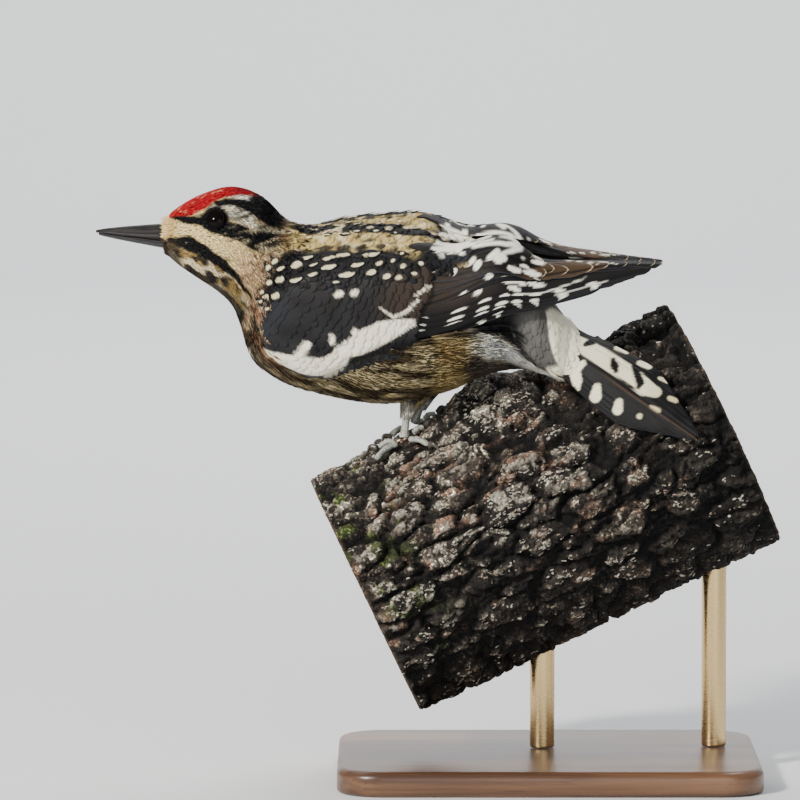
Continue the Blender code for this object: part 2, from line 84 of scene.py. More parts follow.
WING_LOWER = ((4.4, 64), (5, 100), (6, 116), (6.5, 124), (7, 130), (7.6, 130), (8, 125), (8.3, 108),
              (8.6, 95), (9, 89), (10, 80), (11, 72), (12, 61), (13, 46), (14, 34), (15, 24))
WING_UPPER = ((4.4, 50), (5, 54), (6, 45), (7, 36), (8, 26), (9, 17), (10, 10), (11, 6), (13, 6), (15, 10))
WING_THICK = ((5.2, 2.2), (6.5, 4.2), (8, 3.8), (10, 2.8), (12, 1.8), (15, 0.9))
WING_CLEAR = ((5, 0.7), (8, 0.7), (10, 1.0), (12, 0.8))


# ---------------------------------------------------------------- small mathematics
def curve(x, keys):
    """Values at x on a smooth curve through keys, each (x, value), flat beyond its ends."""
    xs, vs = np.array(keys, float).T
    x = np.clip(np.asarray(x, float), xs[0], xs[-1])
    slope = np.diff(vs) / np.diff(xs)
    before, after = np.append(slope[:1], slope), np.append(slope, slope[-1:])
    m = np.where(before * after > 0, (before + after) / 2, 0.0)
    i = np.clip(np.searchsorted(xs, x, side="right") - 1, 0, len(xs) - 2)
    h = xs[i + 1] - xs[i]
    t = (x - xs[i]) / h
    return ((2 * t**3 - 3 * t**2 + 1) * vs[i] + (t**3 - 2 * t**2 + t) * h * m[i]
            + (3 * t**2 - 2 * t**3) * vs[i + 1] + (t**3 - t**2) * h * m[i + 1])


def ramp(x, low, high):
    """0 below low, 1 above high, smooth between; low may be the larger."""
    t = np.clip((np.asarray(x, float) - low) / (high - low), 0, 1)
    return t * t * (3 - 2 * t)


def turns_round(count):
    """Evenly spaced angles of a full turn."""
    return np.linspace(0, 2 * np.pi, count, endpoint=False)


def wrapped(angle):
    """The same angle between -pi and pi."""
    return (angle + np.pi) % (2 * np.pi) - np.pi


def mix(a, b, t):
    """a where t is 0, b where it is 1, blended between."""
    return np.asarray(a) + (np.asarray(b) - np.asarray(a)) * np.asarray(t)[..., None]


SCRAMBLE = np.array((73856093, 19349663, 83492791))  # large primes that mix a cell's three whole numbers
LOW_BITS = 0xFFFFFFF


def grain(points, size, seed=0.0):
    """Smooth noise from 0 to 1, with features about size across."""
    q = np.asarray(points, float) / np.asarray(size, float) + seed * 17.37
    low = np.floor(q)
    f = q - low
    f = f * f * (3 - 2 * f)
    cell = low.astype(np.int64)
    total = 0.0
    for corner in np.ndindex(2, 2, 2):
        n = (cell + corner) @ SCRAMBLE
        n = ((n ^ (n >> 13)) * 1274126177 + 911) & LOW_BITS
        n = ((n ^ (n >> 11)) * 668265263) & LOW_BITS
        total = total + n / LOW_BITS * np.prod(np.where(corner, f, 1 - f), axis=-1)
    return total


def station(rows, s):
    """Rows at places s, with a smooth Catmull-Rom blend between whole ones."""
    s = np.asarray(s, float)
    i = np.clip(np.floor(s).astype(int), 0, len(rows) - 2)
    t = (s - i)[..., None]
    a, b, c, d = (rows[np.clip(i + k, 0, len(rows) - 1)] for k in (-1, 0, 1, 2))
    return b + (c - a) / 2 * t + (a - 2.5 * b + 2 * c - d / 2) * t**2 + (1.5 * (b - c) + (d - a) / 2) * t**3


def pose(x, y, z, twist=True):
    """The leaning, turned bird's place of points of the upright one."""
    roll = curve(x, ROLL) + (curve(x, TWIST) if twist else 0.0)
    shift = curve(x, SHIFT)
    slope = (curve(x + 2, SHIFT) - curve(x - 2, SHIFT)) / 4
    middle = curve(x, AXIS)
    if twist:
        middle = middle + (146.0 - middle) * np.clip((x + 18.0) / 16.0, 0, 1)
    roll = np.radians(roll)
    aside = y * np.cos(roll) - (z - middle) * np.sin(roll)
    up = y * np.sin(roll) + (z - middle) * np.cos(roll)
    norm = np.hypot(1.0, slope)
    return PLACE + np.stack((x - aside * slope / norm, shift + aside / norm, middle + up), axis=-1)


def upright(rows, s, angle, proud=0.0):
    """Points round the upright body: angle 0 is the back, pi/2 the right side."""
    top_x, top_z, low_x, low_z, wide = np.moveaxis(station(rows, s), -1, 0)
    half = np.hypot(top_x - low_x, top_z - low_z) / 2
    rise, out = np.cos(angle) * (half + proud), np.sin(angle) * (wide + proud)
    return ((top_x + low_x) / 2 + (top_x - low_x) / (2 * half) * rise, out,
            (top_z + low_z) / 2 + (top_z - low_z) / (2 * half) * rise)


def on_body(s, angle, proud=0.0):
    """Points over the body, with the folded wing's front part as a swelling of it."""
    return pose(*upright(BODY, s, angle, proud))


def wing_swell(s, angle):
    """How far the folded wing stands out of the body."""
    low, high = np.radians(curve(s, WING_LOWER)), np.radians(curve(s, WING_UPPER))
    share = (np.abs(angle) - low) / (high - low)
    over = ramp(share, -0.12, 0.14) * ramp(share, 1.14, 0.8) * ramp(s, 5.0, 6.2)
    return over * (curve(s, WING_CLEAR) + curve(s, WING_THICK) * 0.95)


def on_front(s, angle, proud=0.0):
    """Points over the body and the front of the wing."""
    return pose(*upright(BODY, s, angle, proud + wing_swell(s, angle)))


def on_back(s, angle, proud=0.0):
    """Points over the back between the folded wings, level with them behind the legs."""
    return pose(*upright(WING_BED, s, angle, proud + wing_swell(s, angle)), twist=False)


def on_wing(s, angle, proud=0.0):
    """Points over the folded wing, also where it runs free behind the body."""
    low, high = np.radians(curve(s, WING_LOWER)), np.radians(curve(s, WING_UPPER))
    share = np.clip((np.abs(angle) - low) / (high - low), 0, 1)
    swell = 0.35 + 0.65 * np.sin(np.pi * share) ** 0.6
    height = curve(s, WING_CLEAR) + np.maximum(0.6, curve(s, WING_THICK) * swell)
    return pose(*upright(WING_BED, s, angle, proud + height), twist=False)


# ---------------------------------------------------------------- the colours of the plumage
BLACK = np.array((0.0045, 0.0042, 0.0046))
SLATE = np.array((0.013, 0.0145, 0.018))
UMBER = np.array((0.024, 0.018, 0.014))
BROWN = np.array((0.085, 0.050, 0.026))
BUFF = np.array((0.520, 0.320, 0.105))
STRAW = np.array((0.640, 0.490, 0.210))
PEACH = np.array((0.720, 0.390, 0.220))
CREAM = np.array((0.820, 0.690, 0.430))
WHITE = np.array((0.920, 0.885, 0.760))
RED = np.array((0.430, 0.003, 0.010))


def head_colour(x, z, p):
    """Colour of the head and neck at upright places x, z; p are the points for the noise."""
    fine, patchy = grain(p, (1.6, 0.8, 0.8), 3), grain(p, (3.6, 2.2, 2.2), 5)
    wobble = (patchy - 0.5) * 1.5
    hairs = grain(np.stack((x + z * 0.7, z * 1.0 - x * 0.35, z * 0), -1), (5.0, 0.75, 1.0), 11)
    colour = mix(CREAM, mix(CREAM, STRAW, 0.45), fine) * (1.12, 1.06, 0.90)
    # moustachial stripe from the bill to the side of the neck, buffy at the bill
    colour = mix(colour, BUFF * 1.2, ramp(x, -124, -128) * 0.8)
    colour = mix(colour, mix(PEACH, CREAM, 0.35),
                 ramp(x, -108, -103) * ramp(z, 182, 178) * (0.45 + 0.55 * patchy))
    colour = mix(colour, BROWN, ramp(hairs, 0.68, 0.80) * ramp(x, -118, -108) * 0.55)
    # malar stripe, then the throat below it
    malar = curve(x, ((-128, 181.0), (-123, 180.3), (-118.5, 179.1), (-114, 176.8), (-110, 174.5),
                      (-106, 171.2), (-100, 164)))
    reach = curve(x, ((-129, 0.5), (-125.5, 1.0), (-122, 2.1), (-118.5, 2.5), (-114, 2.3), (-110, 1.8),
                      (-106, 1.3), (-102, 0.8), (-98, 0.2)))
    dark = mix(BLACK, CREAM * 0.8, ramp(grain(p, 1.0, 12), 0.76, 0.86) * ramp(x, -108, -116) * 0.8)
    colour = mix(colour, dark, ramp(np.abs(z - malar + wobble), reach + 0.8, reach - 0.3))
    throat = ramp(z, malar - 1.6, malar - 2.8) * ramp(x, -96, -101)
    scaly = mix(mix(UMBER, STRAW * (0.50, 0.44, 0.36), ramp(grain(p, 2.0, 8), 0.35, 0.6)), CREAM * 0.9,
                ramp(grain(p, (3.0, 2, 2), 9), 0.52, 0.66))
    colour = mix(colour, scaly, throat)
    # painted shade: black along the throat's lower edge
    colour = mix(colour, BLACK * 2, throat * ramp(z + wobble, malar - 7.0, malar - 10.0) * 0.9)
    colour = mix(colour, UMBER, ramp(x, -122.5, -125.5) * ramp(z, 181.9, 180.9) * 0.9)
    # the dark hair line where the cheek's feathers end over the neck
    rim = curve(z, ((168, -98.0), (172, -97.2), (177.9, -95.2), (181.8, -92.2), (185.1, -88.6)))
    hairline = ramp(np.abs(x - rim + wobble * 0.6), 1.1, 0.5) * ramp(hairs, 0.36, 0.5)
    colour = mix(colour, BLACK * 2, hairline * ramp(z, 186, 184) * 0.85)
    # ear coverts, blackish, streaked with pale grey
    top = curve(x, ((-113, 189.0), (-108, 187.9), (-105, 188.0), (-101, 186.8), (-96.7, 186.5),
                    (-92, 185.0)))
    low = curve(x, ((-114, 184.6), (-109, 183.6), (-105.4, 182.7), (-101, 181.1), (-96.5, 180.4),
                    (-92, 181.9)))
    patch = ramp(z + wobble * 0.6, top + 0.6, top - 0.4) * ramp(z + wobble * 0.6, low - 0.6, low + 0.4)
    patch = patch * ramp(x, -114.5, -112.5) * ramp(x, -88.5, -91.5)
    streak = ramp(hairs, 0.66 - 0.14 * ramp(x, -103, -97), 0.78 - 0.14 * ramp(x, -103, -97))
    colour = mix(colour, mix(BLACK, CREAM * 0.62, streak * (0.35 + 0.65 * ramp(x, -105, -98))), patch)
    # pale eyebrow, browner behind
    brow = curve(x, ((-116, 191.4), (-112, 191.9), (-108, 191.2), (-104, 190.2), (-98, 189.2),
                     (-92, 186.8)))
    wide = curve(x, ((-117, 0.5), (-113, 0.8), (-109, 1.6), (-104, 2.3), (-98, 2.4), (-91, 1.6)))
    band = ramp(np.abs(z - brow + wobble * 0.5), wide + 0.6, wide - 0.4)
    band = band * ramp(x, -116.2, -115) * ramp(x, -88, -91)
    pale = mix(mix(CREAM, WHITE, fine), mix(BUFF, BROWN, patchy),
               ramp(x, -104, -98) * ramp(patchy, 0.3, 0.6) * 0.85)
    pale = mix(pale * 0.85, BLACK, ramp(hairs, 0.58, 0.68) * ramp(x, -112, -104) * 0.85)
    colour = mix(colour, pale, band)
    # black from the lores over the eye to the nape
    line = curve(x, ((-126, 187.6), (-121, 187.6), (-118, 187.8), (-115, 188.6), (-114, 192.4),
                     (-111.6, 193.1), (-107.6, 193.9), (-103.3, 193.4), (-99.2, 193.0), (-95.5, 191.6),
                     (-92, 189.0)))
    wide = curve(x, ((-127, 0.4), (-124, 1.0), (-118, 1.5), (-115, 2.6), (-114.2, 0.2), (-112, 0.8),
                     (-107.6, 1.0), (-103.3, 1.6), (-99.2, 3.0), (-95, 3.6), (-92, 2.4)))
    streaky = mix(BLACK, CREAM * 0.8, ramp(hairs, 0.70, 0.78) * ramp(x, -116, -120) * 0.7)
    colour = mix(colour, streaky,
                 ramp(np.abs(z - line + wobble * 0.3), wide + 0.5, wide - 0.4) * ramp(x, -89.5, -92.5))
    ring = np.hypot((x + 112.3) / 1.15, z - 188.2)
    colour = mix(colour, BLACK, ramp(ring, 4.7, 3.7))
    # red crown
    edge = curve(x, ((-129, 186.4), (-127.1, 187.4), (-123.4, 188.3), (-119.4, 189.3), (-116.3, 191.1),
                     (-112.9, 193.6), (-109.5, 194.8), (-106.1, 195.5), (-101.9, 195.4), (-98, 194.6)))
    crown = ramp(z + wobble * 0.45, edge - 0.25, edge + 0.35)
    crown = crown * ramp(x, -129.5, -128) * ramp(x, -97.0, -99.5)
    spots = ramp(np.abs(z - edge + 0.2), 1.0, 0.4) * ramp(grain(p, 1.5, 15), 0.55, 0.65)
    spots = spots * ramp(x, -112, -109) * ramp(x, -101, -103)
    colour = mix(colour, WHITE, spots)
    ruddy = mix(RED, RED * 0.35, fine * ramp(x, -112, -102))
    ruddy = mix(ruddy, np.array((0.80, 0.42, 0.22)),
                ramp(grain(p, 0.8, 21), 0.74, 0.86) * ramp(x, -108, -114))
    return mix(colour, ruddy, crown)


GOLD_EDGE = ((4.8, 50), (5.4, 46), (6.0, 38), (6.5, 33), (7.2, 32), (8.0, 28), (8.8, 32), (9.4, 33),
             (10, 30), (12, 40))
# the white pattern of the innermost wing feathers: station, degrees, half width in mm
INNER_WHITES = (((9.42, 20, 1.0), (9.8, 17, 1.5)), ((9.45, 13, 1.1), (9.8, 11, 1.4)),
                ((9.35, 6, 1.2), (9.7, 5, 1.8), (10.1, 5, 2.2)),
                ((9.98, 8, 2.0), (9.97, 15, 2.0), (10.0, 20, 1.2)), ((9.55, 24, 1.0),),
                ((10.1, 1.5, 1.1), (10.65, 1.5, 0.8)), ((10.15, 8.5, 1.1), (10.75, 8, 0.5)),
                ((10.35, 14, 0.9), (11.1, 14, 0.9), (11.35, 9, 1.3)),
                ((10.9, 2, 0.4), (11.2, 2, 0.9), (11.38, 5, 1.1), (11.4, 13, 1.1), (11.25, 20, 0.7),
                 (10.9, 28.5, 0.3), (10.55, 34, 0.2)), ((10.92, 23.5, 1.2), (10.75, 28, 0.8)),
                 ((10.4, 27.5, 1.1), (10.3, 31, 0.6)), ((9.9, 11, 1.6), (10.3, 11, 1.0)),
                 ((11.8, 5, 0.9), (11.84, 9, 0.7)), ((11.78, 14, 0.35), (11.95, 15, 0.35)),
                 ((11.55, 22, 0.35),))
MANTLE = ((4.8, 7), (5.6, 13), (6.5, 9), (7.4, 8), (8.6, 7), (9.2, 4), (10.4, 3), (12, 9))
NOTCHES = ((5.55, 43, 1.3), (5.95, 37.5, 1.7), (6.45, 31, 1.9), (6.95, 28.5, 1.9), (7.38, 27, 1.8),
           (7.85, 24.5, 1.6), (8.3, 26, 1.3))


def vent_edge(s):
    """Degrees from the back of the white fringe's upper edge."""
    return curve(s, ((10.2, 77), (10.8, 79), (11.2, 84), (11.8, 96), (12.5, 102), (13.1, 103), (15, 100)))


def plumage(s, angle, p):
    """Colour of the body's plumage at stations s and angles, for the skin and for what grows on it."""
    turn = np.degrees(np.abs(angle))
    x, _, z = upright(BODY, s, angle)
    fine, patchy = grain(p, 1.3, 1), grain(p, 3.4, 2)
    clump, blotch = grain(p, (5.5, 3.0, 3.0), 6), grain(p, (11.0, 5.0, 5.0), 7)
    wobble = (patchy - 0.5) * 9
    # underside: cream and buff clumps streaked brown, with painted shade in umber along the very bottom
    lower = ramp(turn + wobble, 122, 150)
    streak = ramp(clump * 0.6 + blotch * 0.4, 0.50 - 0.12 * lower, 0.57 - 0.12 * lower)
    flank = mix(mix(STRAW, CREAM, fine), BROWN * 0.6, streak * 0.92)
    breast = mix(mix(CREAM, PEACH, ramp(patchy, 0.3, 0.7)), BROWN * 0.45, streak * 0.85)
    breast = mix(breast, mix(CREAM, PEACH, fine),
                 ramp(grain(p, (3.4, 2.6, 2.6), 18), 0.54, 0.62) * ramp(turn, 148, 136) * 0.9)
    colour = mix(breast, flank, ramp(s, 6.6, 8.2))
    # painted shade: umber along the bottom of breast and belly
    colour = mix(colour, UMBER,
                 ramp(turn + wobble, 148, 162) * ramp(s, 5.6, 7.0) * ramp(s, 10.2, 9.4) * 0.85)
    colour = mix(colour, mix(STRAW, BUFF, patchy),
                 ramp(s, 9.6, 9.9) * ramp(s, 10.6, 10.2) * ramp(turn, 78, 86) * 0.8)
    # painted light: the vent's white fringe made brighter than its own white, as if in sun
    colour = mix(colour, mix(WHITE, CREAM, fine * 0.5) * 1.35, ramp(s, 10.3, 10.8))
    # painted shade: dark umber and brown below the fringe's lower edge, under the vent
    lower_edge = curve(s, ((10.2, 86), (10.8, 97), (11.4, 110), (12.1, 126), (13, 146)))
    under = mix(UMBER, BROWN, patchy)
    colour = mix(colour, under,
                 ramp(turn + wobble, lower_edge, lower_edge + 14) * ramp(s, 10.2, 10.5)
                 * ramp(s, 13.2, 12.6) * 0.92)
    # smooth grey feathers above the fringe, white where they reach the tail; black in front of station 12
    # is painted shadow under the wing
    soft = mix(mix((0.060, 0.058, 0.054), (0.125, 0.120, 0.110), patchy), BLACK * 1.5, ramp(s, 12.0, 11.4))
    soft = mix(soft, WHITE * (1, 0.98, 0.88),
               ramp(s + wobble * 0.02 + np.abs(turn - 62) * 0.013, 13.45, 13.6))
    colour = mix(colour, soft,
                 ramp(turn + wobble * 0.5, vent_edge(s) + 2, vent_edge(s) - 3) * ramp(s, 10.3, 10.6))
    # back: a black middle stripe, a golden one beside it, black scapulars
    upper = ramp(s, 4.9, 5.3) * ramp(s, 11.8, 11.3)
    edge = curve(s, GOLD_EDGE)
    colour = mix(colour, BLACK,
                 ramp(turn + wobble * 0.5, edge + 52, edge + 44) * upper * ramp(s, 10.4, 9.8))
    gold = mix(mix(BUFF, STRAW, fine) * (0.80, 0.86, 0.84), BROWN * 1.3, ramp(patchy, 0.58, 0.78) * 0.7)
    gold = mix(gold, CREAM, ramp(grain(p, (3.6, 2, 2), 17), 0.60, 0.70) * 0.6)
    gold = mix(gold, BLACK * 2, ramp(grain(p, (3.4, 1.8, 1.8), 19), 0.68, 0.74) * ramp(s, 6.4, 7.2) * 0.85)
    inner = ramp(s + turn * 0.012, 9.15, 9.45)
    gold = mix(gold, mix(BLACK * 1.3, SLATE * 1.6, patchy), inner)
    colour = mix(colour, gold, ramp(turn + wobble * 0.4, edge + 2, edge - 2) * upper)
    at = unrolled(s, turn)
    for keys in INNER_WHITES:
        colour = mix(colour, WHITE, mark(at, keys, 0.5) * inner)
    for keys in NOTCHES:
        colour = mix(colour, BLACK * 1.5, mark(at, keys, 0.4) * 0.92)
    stripe = curve(s, MANTLE)
    dark = mix(BLACK, CREAM * 0.9, ramp(grain(p, (3.0, 1.6, 1.6), 14), 0.66, 0.72) * 0.85)
    colour = mix(colour, dark, ramp(turn + wobble * 0.3, stripe + 1.8, stripe - 1.8) * upper)
    head = ramp(s, 5.15, 4.75)
    return mix(colour, head_colour(x, z, p), head)


# ---------------------------------------------------------------- meshes and pieces
def make_piece(name, verts_mm, faces, material, nodes=(), tint=None, bake=None, barb=None, smooth=True):
    """A finished piece from points in mm and faces, riding on the model."""
    mesh = bpy.data.meshes.new(name)
    verts = np.asarray(verts_mm, float) * MM
    if isinstance(faces, np.ndarray):
        flat = faces.ravel()
        keep = flat >= 0
        sizes = (faces >= 0).sum(axis=1)
        mesh.vertices.add(len(verts))
        mesh.vertices.foreach_set("co", verts.ravel())
        mesh.loops.add(int(keep.sum()))
        mesh.loops.foreach_set("vertex_index", flat[keep])
        mesh.polygons.add(len(faces))
        mesh.polygons.foreach_set("loop_start", np.concatenate(([0], np.cumsum(sizes)[:-1])))
        mesh.update(calc_edges=True)
    else:
        mesh.from_pydata([tuple(v) for v in verts], [], faces)
    index = np.empty(len(mesh.loops), dtype=np.int64)
    mesh.loops.foreach_get("vertex_index", index)
    if smooth:
        mesh.shade_smooth()
    for label, values in (("OFBake", bake), ("Barb", barb)):
        if values is not None:
            layer = mesh.uv_layers.new(name=label)
            values = np.asarray(values)
            layer.data.foreach_set("uv", (values[index] if len(values) == len(verts) else values).ravel())
    if tint is not None:
        layer = mesh.attributes.new("tint", "FLOAT_COLOR", "POINT")
        tint = np.clip(tint, 0, 1)
        whole = tint if tint.shape[1] == 4 else np.column_stack((tint, np.ones(len(verts))))
        layer.data.foreach_set("color", whole.ravel())
    mesh.materials.append(material)
    piece = bpy.data.objects.new(name, mesh)
    bpy.context.scene.collection.objects.link(piece)
    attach(piece, "root")
    if nodes:
        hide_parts(*nodes)
    return piece


def grid_faces(rows, cols, wrap=True, start=0):
    """Quads of a grid of points, closed round where wrap."""
    r, c = np.meshgrid(np.arange(rows - 1), np.arange(cols if wrap else cols - 1), indexing="ij")
    a, b = r * cols + c, r * cols + (c + 1) % cols
    return np.stack((a, b, b + cols, a + cols), axis=-1).reshape(-1, 4) + start


def flip(faces):
    """The same faces seen from their other side; three-cornered ones end in -1."""
    three = faces[:, 3] < 0
    turned = faces[:, ::-1].copy()
    turned[three] = np.column_stack((faces[three][:, 2::-1], faces[three][:, 3]))
    return turned


def grid_rim(rows, cols):
    """Indices of the points round a grid's border, in order."""
    rim = list(range(cols)) + [r * cols + cols - 1 for r in range(1, rows)]
    rim += [(rows - 1) * cols + c for c in range(cols - 2, -1, -1)]
    return np.array(rim + [r * cols for r in range(rows - 2, 0, -1)])


def slab_faces(rows, cols):
    """Faces of a thin closed slab: a grid of points, and after it the same grid underneath."""
    top, rim, below = grid_faces(rows, cols, wrap=False), grid_rim(rows, cols), rows * cols
    after = np.roll(rim, -1)
    wall = np.stack((rim + below, after + below, after, rim), -1)
    return np.vstack((top, flip(top + below), wall))


def capped(values):
    """Values of a loft's rings, and after them those of its two end points."""
    return np.vstack((values, values[:1], values[-1:]))


def outward(piece):
    """Turns a closed piece's faces outwards."""
    bm = bmesh.new()
    bm.from_mesh(piece.data)
    bmesh.ops.recalc_face_normals(bm, faces=bm.faces)
    if bm.calc_volume(signed=True) < 0:
        bmesh.ops.reverse_faces(bm, faces=bm.faces)
    bm.to_mesh(piece.data)
    bm.free()
    return piece


def lofted(rings):
    """(points, faces) of a closed form through rings of equally many points, its ends drawn to a point."""
    rings = np.asarray(rings, float)
    rows, cols = rings.shape[:2]
    faces = grid_faces(rows, cols)
    ends = np.array([rings[0].mean(axis=0), rings[-1].mean(axis=0)])
    k = np.arange(cols)
    low = np.stack((np.full(cols, rows * cols), (k + 1) % cols, k, np.full(cols, -1)), axis=-1)
    last = (rows - 1) * cols
    high = np.stack((np.full(cols, rows * cols + 1), last + k, last + (k + 1) % cols, np.full(cols, -1)),
                    axis=-1)
    return np.vstack((rings.reshape(-1, 3), ends)), np.vstack((faces, low, high))


def swept(path, radii, sides, flat=1.0, up=(0.0, 0.0, 1.0)):
    """(points, faces) of a closed tube along path."""
    path, radii = np.asarray(path, float), np.asarray(radii, float)
    ahead = np.gradient(path, axis=0)
    ahead /= np.linalg.norm(ahead, axis=1)[:, None]
    side = np.cross(ahead, np.asarray(up, float))
    side /= np.linalg.norm(side, axis=1)[:, None]
    top = np.cross(side, ahead)
    a = turns_round(sides)
    rings = path[:, None] + radii[:, None, None] * (
        side[:, None] * np.cos(a)[None, :, None] + top[:, None] * (flat * np.sin(a))[None, :, None])
    return lofted(rings)


def joined(parts):
    """One (points, faces) from several."""
    points, faces, start = [], [], 0
    for p, f in parts:
        points.append(p)
        faces.append(np.where(f >= 0, f + start, -1))
        start += len(p)
    return np.vstack(points), np.vstack(faces)


# ---------------------------------------------------------------- materials
class Nodes:
    """Short names for building a material's or a group's tree."""

    def __init__(self, tree):
        self.tree = tree

    def add(self, kind, **settings):
        """A new node with some of its properties set."""
        node = self.tree.nodes.new(kind)
        for key, value in settings.items():
            setattr(node, key, value)
        return node

    def join(self, source, target):
        self.tree.links.new(source, target)

    def put(self, socket, value):
        """Links a socket to another, or sets its constant; a colour of three numbers gets its alpha."""
        if isinstance(value, bpy.types.NodeSocket):
            self.join(value, socket)
        elif socket.type == "RGBA":
            socket.default_value = (*value, 1.0)
        else:
            socket.default_value = value

    def feed(self, node, **values):
        """Puts values into a node's inputs by name, a space written as _, and returns the node."""
        for key, value in values.items():
            self.put(node.inputs[key.replace("_", " ")], value)
        return node

    def noise(self, vector, scale, detail=3.0, rough=0.55):
        node = self.add("ShaderNodeTexNoise")
        return self.feed(node, Vector=vector, Scale=scale, Detail=detail, Roughness=rough).outputs["Fac"]

    def span(self, value, low, high, to_low=0.0, to_high=1.0):
        """A value from low to high, smoothly mapped to another range."""
        node = self.add("ShaderNodeMapRange", interpolation_type="SMOOTHSTEP")
        self.join(value, node.inputs[0])
        for k, number in enumerate((low, high, to_low, to_high)):
            node.inputs[k + 1].default_value = number
        return node.outputs[0]

    def blend(self, factor, a, b, how="MIX"):
        node = self.add("ShaderNodeMix", data_type="RGBA", blend_type=how)
        for socket, value in ((node.inputs[0], factor), (node.inputs[6], a), (node.inputs[7], b)):
            self.put(socket, value)
        return node.outputs[2]

    def math(self, how, a, b=0.0):
        node = self.add("ShaderNodeMath", operation=how)
        for socket, value in zip(node.inputs, (a, b)):
            self.put(socket, value)
        return node.outputs[0]

    def vectors(self, how, a, b):
        """Vector mathematics; b is a number for SCALE."""
        node = self.add("ShaderNodeVectorMath", operation=how)
        self.put(node.inputs[0], a)
        self.put(node.inputs[3 if how == "SCALE" else 1], b)
        return node.outputs[0]

    def random_vector(self, low, high, seed):
        node = self.feed(self.add("FunctionNodeRandomValue", data_type="FLOAT_VECTOR"), Seed=seed)
        self.put(node.inputs[0], low)
        self.put(node.inputs[1], high)
        return node.outputs[0]

    def stretch(self, vector, scale, turn=(0.0, 0.0, 0.0)):
        node = self.add("ShaderNodeMapping")
        self.join(vector, node.inputs[0])
        node.inputs["Scale"].default_value = scale
        node.inputs["Rotation"].default_value = turn
        return node.outputs[0]


def new_material(name, **plain):
    """A Principled material with constant values; returns it, its nodes and its shader."""
    material = bpy.data.materials.new(name)
    material.use_nodes = True
    n = Nodes(material.node_tree)
    shader = n.feed(material.node_tree.nodes["Principled BSDF"], **plain)
    return material, n, shader


def set_bump(n, shader, height, strength, distance):
    """Joins a height to the shader as fine relief."""
    bump = n.feed(n.add("ShaderNodeBump"), Height=height, Strength=strength, Distance=distance)
    n.join(bump.outputs[0], shader.inputs["Normal"])


def object_coords(n):
    """The piece's own coordinates, in metres."""
    return n.add("ShaderNodeTexCoord").outputs["Object"]


def barb_group():
    """The barbs of a feather, slanting off its shaft: colour, roughness and height from a flat map."""
    tree = bpy.data.node_groups.new("feather_barbs", "ShaderNodeTree")
    for label, kind in (("Map", "Vector"), ("Tint", "Color"), ("Streak", "Float"),
                        ("Sheen roughness", "Float")):
        tree.interface.new_socket(label, in_out="INPUT", socket_type="NodeSocket" + kind)
    for label, kind in (("Color", "Color"), ("Roughness", "Float"), ("Height", "Float")):
        tree.interface.new_socket(label, in_out="OUTPUT", socket_type="NodeSocket" + kind)
    n = Nodes(tree)
    given, result = n.add("NodeGroupInput").outputs, n.add("NodeGroupOutput").inputs
    lines = n.noise(n.stretch(given["Map"], (1.1, 5.0, 1.0), (0.0, 0.0, 0.9)), 1.3, 2.0)
    coarse = n.noise(given["Map"], 0.9, 2.0)
    shade = n.span(n.math("ADD", n.math("MULTIPLY", lines, 0.65), n.math("MULTIPLY", coarse, 0.35)), 0.28,
                   0.72)
    swing = n.math("MULTIPLY", n.math("SUBTRACT", n.math("MULTIPLY", shade, 1.5), 1.0), given["Streak"])
    n.join(n.blend(1.0, given["Tint"], n.math("ADD", swing, 1.0), "MULTIPLY"), result["Color"])
    n.join(n.math("ADD", given["Sheen roughness"], n.span(shade, 0.0, 1.0, 0.12, -0.08)),
           result["Roughness"])
    n.join(lines, result["Height"])
    return tree


def feather_material(name, barbs, streak, relief, roughness):
    """Plumage coloured by the tint attribute, with fine barbs from the shared group."""
    material, n, shader = new_material(name, Specular_IOR_Level=0.16)
    effect = n.add("ShaderNodeGroup", node_tree=barbs)
    n.join(n.add("ShaderNodeUVMap", uv_map="Barb").outputs[0], effect.inputs["Map"])
    n.join(n.add("ShaderNodeAttribute", attribute_name="tint").outputs["Color"], effect.inputs["Tint"])
    effect.inputs["Streak"].default_value = streak
    effect.inputs["Sheen roughness"].default_value = roughness
    n.join(effect.outputs["Color"], shader.inputs["Base Color"])
    n.join(effect.outputs["Roughness"], shader.inputs["Roughness"])
    set_bump(n, shader, effect.outputs["Height"], relief, 0.0002)
    return material


# ---------------------------------------------------------------- vanes and tufts, laid over a surface
def vane_template(cols, rows, point=1.0, zigzag=0.12):
    """A thin closed vane: its points as (across -1 to 1, along 0 to 1, 1 above or 0 below), and faces."""
    top = []
    for r in range(rows):
        v = r / (rows - 1)
        wide = 0.40 + 0.60 * math.sin(math.pi * min(v * 1.2, 0.5)) ** 0.8
        wide *= 1 - max(0.0, (v - 0.5) / 0.5) ** 2 * 0.72 * point
        for c in range(cols):
            u = 2 * c / (cols - 1) - 1
            back = 0.20 * u * u * v**2 + (zigzag * (c % 2) * v**3)
            top.append((u * wide, v - back * v, 1.0))
    edge = grid_rim(rows, cols)
    points = top + [(top[k][0], top[k][1], 0.0) for k in edge]
    faces = [tuple(f) for f in grid_faces(rows, cols, wrap=False)]
    base, n = rows * cols, len(edge)
    for k in range(n):
        after = (k + 1) % n
        faces.append((edge[after], edge[k], base + k, base + after))
    # underside: strips between the two long edges
    left = [0] + [n - r for r in range(1, rows)]
    right = [cols - 1 + r for r in range(rows)]
    for r in range(rows - 2):
        faces.append((base + left[r], base + left[r + 1], base + right[r + 1], base + right[r]))
    tip = range(right[rows - 1], left[rows - 1] + 1)
    last = [base + left[rows - 2]] + [base + k for k in reversed(tip)] + [base + right[rows - 2]]
    for k in range(1, len(last) - 1):
        faces.append((last[0], last[k], last[k + 1], -1))
    padded = np.array([tuple(f) + (-1,) * (4 - len(f)) for f in faces])
    return np.array(points), padded


